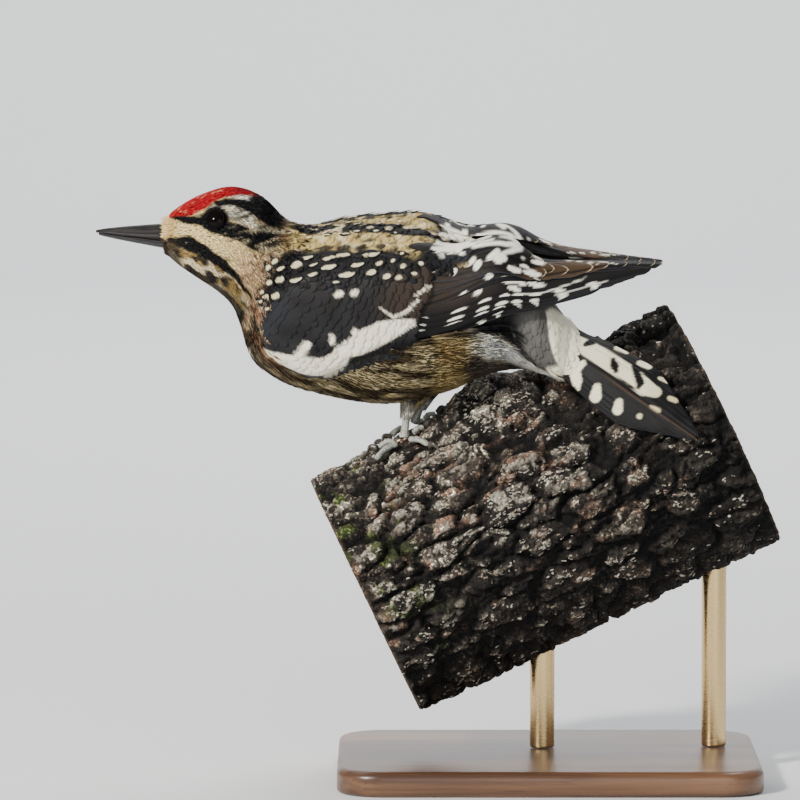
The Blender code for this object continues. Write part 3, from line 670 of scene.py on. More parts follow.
def lance_template():
    """A slender closed three-sided tuft: broad at a third of its length, pointed at the tip."""
    points = [(0.0, 0.0, 0.5)]
    for v, wide, high in ((0.30, 1.0, 1.0), (0.70, 0.72, 1.0)):
        points += [(-wide, v, 0.0), (0.0, v, high), (wide, v, 0.0)]
    points.append((0.0, 1.0, 0.7))
    faces = []
    for k in range(3):
        after = (k + 1) % 3
        faces.append((0, 1 + after, 1 + k, -1))
        faces.append((1 + k, 1 + after, 4 + after, 4 + k))
        faces.append((4 + k, 4 + after, 7, -1))
    return np.array(points), np.array(faces)


MAP_STATIONS, BAKE_PATCH = 15.0, 0.0014  # stations across the bake map, half a tuft's width in it


def body_map(s, a):
    """Places in the bake map: the body unrolled, stations across and angles up."""
    return np.stack((s / MAP_STATIONS, (a + np.pi) / (2 * np.pi)), -1)


BROAD = vane_template(7, 8, point=0.5, zigzag=0.0)
SLEEK = vane_template(11, 12, point=0.5, zigzag=0.0)
WISP = vane_template(5, 4, point=1.0, zigzag=0.5)
LANCE = lance_template()


def scales_at(surface, s, a):
    """(stations, radians) per mm of the surface at s, a."""
    here = surface(s, a)
    ks = 0.05 / np.linalg.norm(surface(s + 0.05, a) - here, axis=-1)
    ka = 0.02 / np.linalg.norm(surface(s, a + 0.02) - here, axis=-1)
    return ks, ka


def lay_coat(surface, template, s, a, length, width, depth, tip, yaw=0.0, camber=0.25, thick=0.16, seed=1):
    """Vanes rooted at s, a, tiled over one another: (points, faces, barb map, bake map, root index)."""
    rng = np.random.default_rng(seed)
    n = len(s)
    one = np.ones(n)
    length, width, depth, tip, yaw = (one * v for v in (length, width, depth, tip, yaw))
    points, faces = template
    u, v, side = points.T
    ks, ka = scales_at(surface, s, a)
    bow = rng.normal(0, 0.07, n)
    x = v[None] * length[:, None]
    y = u[None] * width[:, None] / 2 + bow[:, None] * x * v[None]
    c, w = np.cos(yaw)[:, None], np.sin(yaw)[:, None]
    ps = s[:, None] + ks[:, None] * (x * c - y * w)
    pa = a[:, None] + ka[:, None] * (x * w + y * c)
    rise = -depth[:, None] + (depth + tip)[:, None] * v[None] ** 0.8
    rise = rise + camber * (1 - u[None] ** 2) * width[:, None] * 0.18 * (0.3 + v[None])
    rise = rise + side[None] * thick * (1.15 - 0.7 * v[None])
    xyz = surface(ps.ravel(), pa.ravel(), rise.ravel())
    m = len(points)
    all_faces = np.where(faces[None] >= 0, faces[None] + (np.arange(n) * m)[:, None, None],
                         -1).reshape(-1, 4)
    off = rng.uniform(0, 40, (n, 2))
    barb = np.stack((np.abs(y) + off[:, :1], x + off[:, 1:]), -1).reshape(-1, 2)
    bake = (body_map(s, a)[:, None] + BAKE_PATCH * np.stack((u, v * 2 - 1), -1)[None]).reshape(-1, 2)
    return xyz, all_faces, barb, bake, (np.repeat(s, m), np.repeat(a, m), np.tile(v, n), np.tile(u, n),
                                        ps.ravel(), pa.ravel())


def scatter(surface, s0, s1, a0, a1, along, across, seed, jitter=0.3):
    """Staggered roots, spaced in mm, from station s0 to s1, angle a0 to a1 (numbers or functions of s)."""
    rng = np.random.default_rng(seed)
    roots_s, roots_a, s, row = [], [], s0, 0
    while s < s1:
        low, high = (float(edge(s)) if callable(edge) else edge for edge in (a0, a1))
        if high > low + 0.01:
            middle = np.array([(low + high) / 2])
            ks, _ = scales_at(surface, np.array([s]), middle)
            around = np.linspace(low, high, 60)
            step = np.linalg.norm(np.diff(surface(np.full(60, s), around), axis=0), axis=1)
            run = np.concatenate(([0], np.cumsum(step)))
            count = max(1, int(run[-1] / across))
            t = (np.arange(count) + 0.25 + 0.5 * (row % 2)) / count
            t = t + rng.uniform(-jitter, jitter, count) / count
            roots_a.append(np.interp(np.clip(t, 0, 1) * run[-1], run, around))
            roots_s.append(s + ks * along * rng.uniform(-jitter, jitter, count))
            s += float(ks[0]) * along
        else:
            s += 0.05
        row += 1
    return np.concatenate(roots_s), np.concatenate(roots_a)


# ---------------------------------------------------------------- the folded wing's markings
WING_X = ((4, -101), (5, -95), (6, -90), (7, -82), (8, -70.7), (9, -52.6), (10, -36.1), (11, -18), (12, -5),
          (13, 14.5), (14, 24), (15, 31.8))
WING_GIRTH = ((4, 15), (5, 17), (6, 20.5), (7, 23.5), (8, 25.5), (9, 26), (10, 24), (11, 20.5), (12, 15.5),
              (13, 9), (14, 5.6), (15, 3.2))
SCAPULARS = ((4.4, 150), (5.0, 100), (5.4, 84), (6, 70), (7, 58), (8, 48), (9, 42), (9.6, 34), (10.2, 26),
             (10.8, 17), (11.5, 7))


def unrolled(s, turn):
    """The wing's surface laid flat, in mm: along it, and down from the back."""
    return np.stack((curve(s, WING_X), np.radians(turn) * curve(s, WING_GIRTH)), -1)


def mark(at, keys, soft=0.22, squash=1.0):
    """1 inside a painted stroke through keys (station, degrees, half width in mm), 0 outside it."""
    keys = np.atleast_2d(np.array(keys, float))
    places = unrolled(keys[:, 0], keys[:, 1])
    best = np.full(len(at), 99.0)
    if len(keys) == 1:
        d = (at - places[0]) * (squash, 1.0)
        return ramp(np.hypot(*d.T) - keys[0, 2], soft, -soft)
    for a, b, ra, rb in zip(places, places[1:], keys[:, 2], keys[1:, 2]):
        t = np.clip(((at - a) @ (b - a)) / ((b - a) @ (b - a)), 0, 1)
        best = np.minimum(best, np.hypot(*(at - a - t[:, None] * (b - a)).T) - (ra + (rb - ra) * t))
    return ramp(best, soft, -soft)


# The places in this table, in BARS, BLOTS, EDGES, DROPS, INNER_WHITES and the tail's tables, and in the
# curves of head_colour and vent_edge, came from a separate measuring script.
WING_STROKES = (  # white strokes low on the wing: keys of station, degrees, half width in mm
    ((6.85, 123, 1.4), (7.3, 120, 2.8), (7.7, 115.5, 3.5), (8.0, 111, 3.8), (8.12, 104, 3.2),
     (8.15, 96, 2.4)),
    ((7.50, 112, 1.2), (7.46, 100, 0.9)),
    ((8.15, 94, 2.4), (8.36, 86, 3.8), (8.6, 79, 3.5), (8.9, 74, 2.5), (9.30, 69, 0.9)),
    ((7.43, 63.5, 1.0),), ((7.75, 60, 1.0),), ((8.14, 81, 0.9),), ((7.80, 88, 0.6), (7.88, 92, 0.6)),
    ((8.44, 64, 0.1), (8.85, 67.5, 0.35), (9.15, 62, 0.45), (9.33, 56, 0.3)),
    ((9.26, 53.6, 0.3), (9.51, 47, 0.5)),
)
BARS = (  # white bars across the stacked edges: station and degrees of both ends, half width in mm
    ((9.50, 64), (9.43, 82), 1.7),
    ((10.36, 51), (10.04, 79), 2.2),
    ((10.80, 50), (10.60, 75), 1.8),
    ((11.20, 56), (10.90, 72), 1.3),
    ((11.50, 46), (11.40, 65), 1.3),
    ((11.92, 40), (11.80, 62), 1.3),
    ((12.18, 44), (12.30, 60), 1.5),
    ((12.62, 40), (12.75, 55), 1.4),
)
# white spots on the inner feathers: station, degrees, half length and half height in mm
BLOTS = ((9.53, 35, 0.9, 1.0), (10.0, 35, 1.2, 1.2), (10.52, 32.5, 1.5, 1.5), (11.01, 29, 2.3, 1.4),
         (11.37, 35.5, 2.0, 0.9), (10.78, 42.5, 1.4, 0.75), (10.57, 52.5, 1.5, 0.8), (11.19, 45, 2.3, 0.9),
         (11.88, 21, 2.0, 0.8), (11.78, 34.5, 2.4, 0.8), (11.48, 44.5, 2.0, 0.7), (11.37, 51, 1.8, 0.7),
         (11.86, 44, 2.4, 0.7), (11.6, 30, 1.2, 0.6))
# thin white edges: station and degrees of the ends
EDGES = (((11.53, 54.4), (12.61, 38.4)), ((12.2, 55), (12.9, 47)), ((12.75, 17), (12.3, 9)),
         ((13.1, 17), (12.7, 8)))


def wing_colour(s, turn, p):
    """Colour of the folded wing at stations s and degrees turn from the back."""
    at = unrolled(s, turn)
    fine, broad = grain(p, 1.4, 31), grain(p, 5.0, 32)
    colour = mix(BLACK * 1.5, SLATE * 1.2, broad)
    colour = mix(colour, UMBER * 1.2, ramp(s, 8.0, 9.0) * ramp(turn, 78, 60) * 0.9)
    colour = mix(colour, SLATE * (1.2, 1.35, 1.6), ramp(s, 7.4, 6.0) * ramp(turn, 66, 90) * broad)
    colour = colour * (1.10, 1.0, 0.88)
    for keys in WING_STROKES:
        colour = mix(colour, mix(WHITE, CREAM, fine * 0.6), mark(at, keys))
    return colour


# ---------------------------------------------------------------- skin
def skin_depth(s):
    """How far the skin lies inside the tips of the coat."""
    return 0.45 + 0.75 * ramp(s, 1.5, 5.0) + 4.5 * ramp(s, 13.2, 14.1) ** 2


def make_skin(finish):
    """One skin under the whole coat of head, neck, body, rump and thighs."""
    last, rows, cols = 14.0, 280, 128
    s, turns = np.linspace(0.0, last, rows), np.linspace(-np.pi, np.pi, cols, endpoint=False)
    S, A = (grid.ravel() for grid in np.meshgrid(s, turns, indexing="ij"))
    points = on_body(S, A, -skin_depth(S))
    tint = capped(plumage(S, A, points))
    points, faces = lofted(points.reshape(rows, cols, 3))
    faces = flip(faces)
    uv = body_map(np.append(S, (0.0, last)), np.append(A, (0.0, 0.0)))
    parts, tints, maps = [(points, faces)], [tint], [uv]
    for side, _ in SIDES:
        t, a = np.linspace(0.0, 1.0, 16), turns_round(20)
        T, B = np.meshgrid(t, a, indexing="ij")
        rings = on_thigh(side)(T.ravel(), B.ravel(), -0.6 * np.ones(T.size)).reshape(len(t), len(a), 3)
        parts.append(lofted(rings))
        tints.append(capped(thigh_colour(T.ravel(), parts[-1][0][:-2])))
        home = np.column_stack((0.945 + 0.02 * (side == "right") + 0.015 * T.ravel(), B.ravel() / 7))
        maps.append(capped(home))
    points, faces = joined(parts)
    skin = make_piece("bird_skin", points, faces, finish, ("head", "neck", "trunk", "rump", "thigh_left",
                      "thigh_right"), np.vstack(tints) * 0.8)
    index = np.empty(len(skin.data.loops), dtype=np.int64)
    skin.data.loops.foreach_get("vertex_index", index)
    loops = np.vstack(maps)[index]
    first = np.zeros(len(skin.data.polygons), dtype=np.int64)
    total = np.zeros(len(skin.data.polygons), dtype=np.int64)
    skin.data.polygons.foreach_get("loop_start", first)
    skin.data.polygons.foreach_get("loop_total", total)
    body = index < len(S)
    owner = np.repeat(np.arange(len(first)), total)
    widest = np.maximum.reduceat(np.where(body, loops[:, 1], 0), first)[owner]
    seam = body & (widest - loops[:, 1] > 0.5)
    loops[seam, 1] += 1.0
    for label in ("OFBake", "Barb"):
        layer = skin.data.uv_layers.new(name=label)
        layer.data.foreach_set("uv", loops.ravel())
    return skin


# ---------------------------------------------------------------- eyes
EYE_PLACE = (2.70, math.radians(60.0))
EYE_RADIUS, EYE_PROUD = 4.0, 1.1


def eye_axes(sign):
    """(centre, outward direction) of an eyeball."""
    s, a = EYE_PLACE[0], sign * EYE_PLACE[1]
    face, ahead, round_it = on_body(np.array((s, s + 0.05, s)), np.array((a, a, a + 0.05)))
    out = np.cross(ahead - face, round_it - face)
    out /= np.linalg.norm(out)
    out = out if out[1] * sign > 0 else -out
    return face - out * (EYE_RADIUS - EYE_PROUD), out


def eye_distance(points):
    """Distance in mm from the nearer eye's axis, huge away from the head's sides."""
    best = np.full(len(points), 99.0)
    for sign in (-1, 1):
        centre, out = eye_axes(sign)
        d = points - centre
        depth = d @ out
        best = np.where(depth > 0, np.minimum(best, np.linalg.norm(d - depth[:, None] * out, axis=1)), best)
    return best


def make_eyes():
    """Dark glossy eyes, each in a thin bare lid."""
    gloss, _, _ = new_material("eye_dark_gloss", Base_Color=(0.003, 0.0022, 0.002), Roughness=0.05,
                               Specular_IOR_Level=0.08)
    lid, _, _ = new_material("eyelid_skin", Base_Color=(0.005, 0.0045, 0.004), Roughness=0.9,
                             Specular_IOR_Level=0.04)
    round_count, tall_count, lid_count, lid_sides = 48, 32, 64, 12
    for side, sign in SIDES:
        centre, out = eye_axes(sign)
        turn = np.array(Vector(out).to_track_quat("Z", "Y").to_matrix()).T
        rings = []
        for t in math.pi * np.arange(1, tall_count) / tall_count:
            a = turns_round(round_count)
            level = np.full(round_count, math.cos(t))
            ring = np.stack((np.cos(a) * math.sin(t), np.sin(a) * math.sin(t), level), -1)
            rings.append(centre + EYE_RADIUS * ring @ turn)
        points, faces = lofted(rings)
        outward(make_piece(f"eye_{side}_ball", points, faces, gloss, (f"eye_{side}",)))
        # the lid: a thin rounded ring a little outside the visible disc
        a = turns_round(lid_count)
        level = EYE_RADIUS - EYE_PROUD
        ring = []
        for b in turns_round(lid_sides):
            reach = 2.84 + 0.26 * math.cos(b)
            height = level + 0.02 + 0.30 * math.sin(b)
            ring.append(np.stack((np.cos(a) * reach, np.sin(a) * reach, np.full(lid_count, height)), -1))
        ring = np.array(ring).transpose(1, 0, 2)
        points = centre + ring.reshape(-1, 3) @ turn
        faces = grid_faces(lid_count + 1, lid_sides) % (lid_count * lid_sides)
        outward(make_piece(f"eyelid_{side}", points, faces, lid))


# ---------------------------------------------------------------- bill
def make_bill():
    """Two keeled mandibles ending in a narrow chisel, dark and finely ridged lengthwise."""
    horn, n, shader = new_material("bill_horn_polished", Roughness=0.46, Specular_IOR_Level=0.28)
    place = object_coords(n)
    lengthwise = n.noise(n.stretch(place, (90.0, 900.0, 1400.0)), 1.0, 4.0)
    cloud = n.noise(place, 160.0, 3.0)
    base = n.blend(n.span(lengthwise, 0.35, 0.7), (0.006, 0.0055, 0.0065), (0.030, 0.026, 0.024))
    n.join(n.blend(n.span(cloud, 0.55, 0.8, 0.0, 0.5), base, (0.075, 0.055, 0.040)),
           shader.inputs["Base Color"])
    set_bump(n, shader, lengthwise, 0.35, 0.0002)
    root_x, tip_x, root_gape, tip_z = -130.55, -151.7, 180.2, 182.1
    for name, sign, share in (("upper", 1, 0.62), ("lower", -1, 0.38)):
        outline = np.array(((0.0, 1.0), (0.20, 0.95), (0.38, 0.84), (0.56, 0.69), (0.74, 0.50),
                            (0.90, 0.34), (1.0, 0.22), (0.985, 0.10), (0.92, 0.0), (0.5, 0.02)))
        rings = []
        for t in np.linspace(-0.10, 1, 48):
            x = root_x + (tip_x + (0.0 if sign > 0 else 0.9) - root_x) * t
            gape = root_gape + (tip_z - root_gape) * t + sign * 0.14
            depth = 7.6 * share * (1 - t) ** 0.82 + 0.62 * max(t, 0.0)
            width = 3.7 * (1 - t) ** 0.8 + 0.70 * max(t, 0.0)
            groove = 1 - 0.07 * np.exp(-((outline[:, 1] - 0.52) / 0.12) ** 2) * (1 - t)
            right = np.column_stack((outline[:, 0] * width * groove, gape + sign * outline[:, 1] * depth))
            left = right[1:][::-1] * (-1, 1)
            both = np.vstack((right, left))
            rings.append(pose(np.full(len(both), x), both[:, 0], both[:, 1]))
        points, faces = lofted(rings)
        outward(make_piece(f"bill_{name}_horn", points, faces, horn, (f"bill_{name}",)))


# ---------------------------------------------------------------- the limb
LIMB_RADIUS, LIMB_LOW, LIMB_HIGH = 41.0, -33.0, 94.0
KNOT_HEIGHT, GROWTH_RING = 6.4, 2.1
LIMB_SLOPE, LIMB_YAW = math.radians(25.5), math.radians(3.0)
AHEAD = np.array((math.cos(LIMB_SLOPE) * math.cos(LIMB_YAW), math.cos(LIMB_SLOPE) * math.sin(LIMB_YAW),
                  math.sin(LIMB_SLOPE)))
SIDE = np.cross((0, 0, 1), AHEAD) / np.linalg.norm(np.cross((0, 0, 1), AHEAD))
UP = np.cross(AHEAD, SIDE)


def limb_radius(s, angle):
    """The limb's uneven radius in mm, before the bark's relief."""
    uneven = 0.020 * np.sin(2 * angle + 0.6) + 0.014 * np.sin(3 * angle - 1.1 + 0.009 * s)
    uneven = uneven + 0.008 * np.sin(5 * angle + 0.030 * s)
    return LIMB_RADIUS * (1 + uneven + 0.02 / (1 + np.exp(-(s - 70.0) / 14.0)))


LIMB_FOOT = np.array((-46.3, 4.0, 110.0)) - UP * limb_radius(0.0, 0.0)


def on_limb(s, angle, proud=0.0):
    """Points on the bark: s mm along the limb from the feet, angle from its top towards +Y."""
    s, angle = np.asarray(s, float), np.asarray(angle, float)
    reach = (limb_radius(s, angle) + proud)[..., None]
    return LIMB_FOOT + AHEAD * s[..., None] + (UP * np.cos(angle)[..., None]
                                               + SIDE * np.sin(angle)[..., None]) * reach


def tread(s, across, proud):
    """Points over the bark at distances across it towards +Y."""
    return on_limb(s, np.asarray(across, float) / LIMB_RADIUS, proud)


# ---------------------------------------------------------------- legs
FOOT_ACROSS = {"left": -7.5, "right": 9.0}
FOOT_ALONG = {"left": -0.5, "right": 5.0}
ANKLE = {"left": np.array((-45.6, -2.4, 119.2)), "right": np.array((-41.0, 11.4, 120.2))}
TOES = (("inner_front", -25.0, 1.0, 9.5), ("outer_front", 23.0, 1.2, 12.5),
        ("outer_back", 118.0, 1.0, 13.0), ("inner_back", 196.0, 0.8, 7.5))


def sole_of(side):
    """The place where a shank meets its foot."""
    return tread(np.array(FOOT_ALONG[side]), FOOT_ACROSS[side], 1.7)


def on_thigh(side):
    """The surface of a feathered thigh: t from 0 at the belly to 1 at the ankle, a round it."""
    ankle, sole = ANKLE[side], sole_of(side)
    knee, end = ankle + (3.0, 0.0, 8.0), ankle + (sole - ankle) * 0.35

    def surface(t, a, proud=0.0):
        t, a = np.asarray(t, float), np.asarray(a, float)
        path = knee + (end - knee) * t[..., None]
        radius = curve(t, ((0.0, 4.9), (0.3, 4.4), (0.55, 3.4), (0.8, 2.6), (1.0, 1.9), (1.3, 1.4))) + proud
        down = (end - knee) / np.linalg.norm(end - knee)
        one = np.cross(down, (0, 1, 0))
        one /= np.linalg.norm(one)
        two = np.cross(down, one)
        return path + radius[..., None] * (one * np.cos(a)[..., None] + two * np.sin(a)[..., None])
    return surface


def thigh_colour(t, p):
    """Dark and streaked above, pale at the shank."""
    streak = ramp(grain(p, (1.2, 1.2, 2.4), 41), 0.46, 0.60)
    dark = mix(UMBER * 1.4, STRAW * 0.55, streak)
    return mix(dark, mix(WHITE * 0.75, UMBER * 2, streak * 0.6), ramp(t, 0.45, 0.75))


def make_legs():
    """Scaly shanks, toes with ringed skin and padded joints, and curved claws."""
    scaly, n, shader = new_material("foot_scaly_skin", Roughness=0.5)
    place = object_coords(n)
    cells = n.feed(n.add("ShaderNodeTexVoronoi", feature="DISTANCE_TO_EDGE"), Vector=place,
                   Scale=1500.0).outputs[0]
    cloud = n.noise(place, 420.0, 3.0)
    grey = n.blend(cloud, (0.26, 0.27, 0.23), (0.62, 0.62, 0.55))
    n.join(n.blend(n.span(cells, 0.0, 0.12), (0.10, 0.10, 0.085), grey), shader.inputs["Base Color"])
    set_bump(n, shader, n.span(cells, 0.0, 0.2), 0.5, 0.0002)
    horn, n, shader = new_material("claw_horn_dark", Roughness=0.28)
    ridge = n.noise(n.stretch(object_coords(n), (300.0, 300.0, 300.0)), 1.0, 3.0)
    n.join(n.blend(ridge, (0.02, 0.018, 0.016), (0.09, 0.075, 0.06)), shader.inputs["Base Color"])
    for side, out in SIDES:
        s0, c0 = FOOT_ALONG[side], FOOT_ACROSS[side]
        ankle, sole = ANKLE[side], sole_of(side)
        t = np.linspace(0, 1, 56)
        scute = 0.035 * np.abs(np.sin(t * math.pi * 9)) ** 0.5
        radii = 1.35 * (curve(t, ((0, 1.12), (0.25, 0.98), (0.5, 0.93), (0.75, 0.98), (1.0, 1.3))) + scute
                        - 0.03)
        points, faces = swept(ankle + (sole - ankle) * t[:, None], radii, 20, up=(1.0, 0.2, 0.0))
        outward(make_piece(f"shank_{side}", points, faces, scaly, (f"tarsus_{side}",)))
        for name, turn, arch, length in TOES:
            turn = math.radians(turn)
            t = np.linspace(0, 1, 64)
            reach = 3.3 + (length - 3.3) * t
            radius = 1.0 - 0.20 * t
            joints = 0.13 * np.cos(2 * math.pi
                                   * (t * 2.5)) ** 3 + 0.035 * np.abs(np.sin(t * math.pi * 14)) ** 0.6
            lift = radius + 0.5 + arch * 0.7 * np.sin(math.pi * t) ** 2
            ease = np.clip(np.minimum(t, 1 - t) / 0.05, 0, 1) ** 0.5
            points, faces = swept(tread(s0 - math.cos(turn) * reach, c0 + out * math.sin(turn) * reach,
                                        lift), radius * (1.0 + joints) * (0.35 + 0.65 * ease), 16)
            outward(make_piece(f"toe_scaly_{side}_{name}", points, faces, scaly, (f"toe_{side}_{name}",)))
            t = np.linspace(0, 1, 26)
            reach = length + 0.56 + 4.32 * t
            height = 1.25 * (1 - t**3) + 0.85 * t**3 + 1.1 * np.sin(math.pi * t) ** 2
            points, faces = swept(tread(s0 - math.cos(turn) * reach, c0 + out * math.sin(turn) * reach,
                                        height), 0.85 * (1 - t) ** 0.8 + 0.14, 12, flat=1.25)
            outward(make_piece(f"claw_curved_{side}_{name}", points, faces, horn, (f"claw_{side}_{name}",)))


# ---------------------------------------------------------------- the coat
def coat_piece(name, laid, material, colour):
    """A piece of coat from lay_coat's result, tinted point by point by the function colour.

    colour gets the root's station and angle, the places along and across the vane, then the point's own
    station and angle, and the points.
    """
    points, faces, barb, bake, places = laid
    tint = colour(*places, points)
    return make_piece(name, points, flip(faces), material, (), tint, bake, barb)


def scapular_edge(s):
    """Angle of the scapulars' lower edge from the back."""
    return np.radians(curve(s, SCAPULARS))


def wing_low(s):
    """Angle of the folded wing's lower edge from the back."""
    return np.radians(curve(s, WING_LOWER))


def body_tint(s, a, v, u, here_s, here_a, p):
    """Contour feathers take the plumage's colour, darker towards the quill, which is painted shade under
    the feathers above.
    """
    tint = plumage(s + (here_s - s) * 0.7, a + (here_a - a) * 0.7, p)
    own = 1 + 0.5 * ((s * 977.0 + a * 1531.0) % 1.0 - 0.5) * ramp(s, 5.0, 6.5)
    # face: less of this painted shade on the face, and on the vent's fringe
    face = np.maximum(ramp(s, 5.0, 4.2), 1.8 * ramp(s, 10.2, 10.7))
    return tint * (own * (0.58 + 0.16 * face + (0.50 - 0.16 * face) * v))[:, None]


def sleek_tint(s, a, v, u, here_s, here_a, p):
    """Smooth feathers, coloured where each point lies."""
    # a little darker towards each root: painted shade
    return plumage(here_s, here_a, p) * (0.93 + 0.07 * v)[:, None]


def on_rump(s, a, proud=0.0):
    """The rump's surface, drawn on over the root of the tail beyond the last station."""
    last = 13.9
    beyond = np.clip(np.asarray(s, float) - last, 0, None)
    base = on_body(np.minimum(s, last), a, proud)
    middle = on_body(np.full(16, last), np.linspace(-np.pi, np.pi, 16, endpoint=False)).mean(axis=0)
    root, end = on_tail(np.array((0.0, 30.0)), np.zeros(2), np.zeros(2))
    along = end - root
    along = along / np.linalg.norm(along)
    spread = (1 - 0.12 * ramp(s, 12.6, last) - 0.43 * np.clip(beyond, 0, 1))[:, None]
    return middle + (base - middle) * spread + along * beyond[:, None] * 12.0


def on_muzzle(s, a, proud=0.0):
    """Round the root of the bill: s from 0 at the face to 1 on the horn, angle from the top."""
    s, a = np.asarray(s, float), np.asarray(a, float)
    face = on_body(np.full(s.shape, 1.0), a, -0.5)
    horn = pose(np.full(s.shape, -133.2), 3.3 * np.sin(a), 181.3 + 3.75 * np.cos(a))
    heart = pose(np.full(s.shape, -129.0), 0 * a, np.full(s.shape, 182.0))
    p = face + (horn - face) * s[..., None]
    out = p - heart
    return p + out / np.linalg.norm(out, axis=-1, keepdims=True) * np.asarray(proud)[..., None]


def muzzle_tint(s, a, v, u, here_s, here_a, p):
    """Buff tufts over the root of the bill, reddish on top and dark below."""
    turn = np.degrees(np.abs(a))
    pale = mix(mix(BUFF * 1.3, CREAM, grain(p, 1.2, 16)), RED, ramp(turn, 22, 12) * ramp(v, 0.3, 0.0) * 0.5)
    tint = mix(pale, mix(BROWN * 0.5, BLACK, grain(p, 1.0, 17)), ramp(turn, 82, 98))
    # darker towards each root: painted shade
    return tint * (0.8 + 0.3 * v)[:, None]


def keep_clear(surface, s, a, distance):
    """Those roots that keep off the eyes."""
    p = surface(s, a)
    clear = eye_distance(p) > distance
    return s[clear], a[clear]


def make_body_coat(finish):
    """Tufts on the head, wisps on neck and underside, and tiled vanes on the back."""
    rng = np.random.default_rng(5)
    pi = np.pi
    # face and crown: short slender tufts, longer backwards
    s, a = scatter(on_body, 0.04, 4.3, -pi, pi, 0.62, 0.62, 11)
    s, a = keep_clear(on_body, s, a, 3.1)
    size = curve(s, ((0, 1.8), (1.5, 2.1), (3, 3.0), (4.3, 4.2))) * rng.uniform(0.85, 1.15, len(s))
    laid = lay_coat(on_body, LANCE, s, a, size, size * 0.26 + 0.12, skin_depth(s), 0.10 + 0.05 * s,
                    rng.normal(0, 0.16, len(s)), 0.0, 0.30, 12)
    coat_piece("coat_head_tufts", laid, finish, body_tint)
    # neck: loose wisps
    s, a = scatter(on_front, 3.9, 5.6, -pi, pi, 1.15, 0.85, 13)
    size = rng.uniform(3.6, 4.8, len(s))
    laid = lay_coat(on_front, WISP, s, a, size, rng.uniform(1.0, 1.5, len(s)), skin_depth(s), 0.35,
                    rng.normal(0, 0.14, len(s)), 0.3, 0.12, 14)
    coat_piece("coat_neck_wisps", laid, finish, body_tint)
    # breast, belly and flanks, both sides
    for side, sign in SIDES:
        s, a = scatter(on_front, 5.1, 11.4, lambda s: wing_low(s) - 0.04, pi, 1.35, 0.95, 15 + sign)
        size = curve(s, ((5, 4.8), (7, 6.4), (9, 8.4), (11.4, 8.6))) * rng.uniform(0.8, 1.3, len(s))
        laid = lay_coat(on_front, WISP, s, sign * a, size, size * 0.30, skin_depth(s), 0.45,
                        rng.normal(0, 0.15, len(s)), 0.3, 0.12, 17 + sign)
        coat_piece(f"coat_flank_{side}", laid, finish, body_tint)
    # wisps of the vent, then smooth feathers above them over the root of the tail
    s, a = scatter(on_body, 10.6, 13.5, -pi, pi, 1.3, 1.0, 19)
    low = np.degrees(np.abs(a)) > vent_edge(s) - 3
    s, a = s[low], a[low]
    size = rng.uniform(5.5, 8.0, len(s))
    laid = lay_coat(on_body, WISP, s, a, size, size * 0.28, 1.0, 0.5, rng.normal(0, 0.20, len(s)), 0.3,
                    0.12, 20)
    coat_piece("coat_vent_wisps", laid, finish, body_tint)
    s, a = scatter(on_rump, 10.6, 14.0, -pi, pi, 2.4, 2.6, 25)
    high = np.degrees(np.abs(a)) < vent_edge(s) + 3 + 80 * ramp(s, 13.2, 13.4)
    s, a = s[high], a[high]
    size = curve(s, ((10.6, 8.0), (13.2, 9.5), (14.0, 11.5))) * rng.uniform(0.9, 1.1, len(s))
    laid = lay_coat(on_rump, SLEEK, s, a, size, size * 0.72, 0.35, 0.05, rng.normal(0, 0.05, len(s)), 0.06,
                    0.09, 26)
    coat_piece("coat_tail_coverts", laid, finish, sleek_tint)
    # feathers that reach forward over the root of the bill
    s, a = scatter(on_muzzle, 0.02, 0.46, -pi, pi, 0.5, 0.5, 27)
    size = rng.uniform(1.2, 2.4, len(s))
    below = ramp(np.abs(a), 1.7, 2.2)
    laid = lay_coat(on_muzzle, LANCE, s, a, size * (1 - 0.35 * below), 0.60 - 0.2 * below, 0.35, 0.10,
                    rng.normal(0, 0.2, len(s)), 0.0, 0.22, 28)
    coat_piece("coat_bill_root_tufts", laid, finish, muzzle_tint)
    # back, mantle and scapulars
    s, a = scatter(on_back, 4.9, 9.9, lambda s: -scapular_edge(s), scapular_edge, 1.9, 2.0, 21)
    size = curve(s, ((5, 4.8), (7, 6.4), (9, 7.6))) * rng.uniform(0.9, 1.1, len(s))
    laid = lay_coat(on_back, BROAD, s, a, size, size * 0.58, 0.6, 0.12,
                    rng.normal(0, 0.12, len(s)), 0.2, 0.10, 22)
    coat_piece("coat_back_vanes", laid, finish, back_tint)
    for side, sign in SIDES:
        surface = on_thigh(side)
        s, a = scatter(surface, 0.0, 0.86, 0.0, 2 * pi, 0.9, 0.75, 23)
        laid = lay_coat(surface, WISP, s, a, 2.8, 0.9, 0.6, 0.15, rng.normal(0, 0.12, len(s)), 0.3, 0.12,
                        24)
        coat_piece(f"coat_thigh_{side}", laid, finish, thigh_tint)


def thigh_tint(s, a, v, u, here_s, here_a, p):
    """The thigh's colour, darker towards each quill, which is painted shade under the feathers above."""
    return thigh_colour(here_s, p) * (0.6 + 0.5 * v)[:, None]


def back_tint(s, a, v, u, here_s, here_a, p):
    """Back feathers in the plumage's colour, black over the scapulars, and paler towards each tip; the
    darker root is painted shade.
    """
    turn = np.degrees(np.abs(a))
    tint = plumage(s + (here_s - s) * 0.8, a + (here_a - a) * 0.8, p)
    group = (s * 977.0 + a * 1531.0) % 1.0
    outer = ramp(turn, curve(s, GOLD_EDGE) - 1, curve(s, GOLD_EDGE) + 5) * ramp(s, 9.0, 8.6)
    tint = mix(tint, mix(BLACK, BLACK * 2.2, v * (0.5 + group)), outer)
    return tint * (0.72 + 0.36 * v)[:, None]


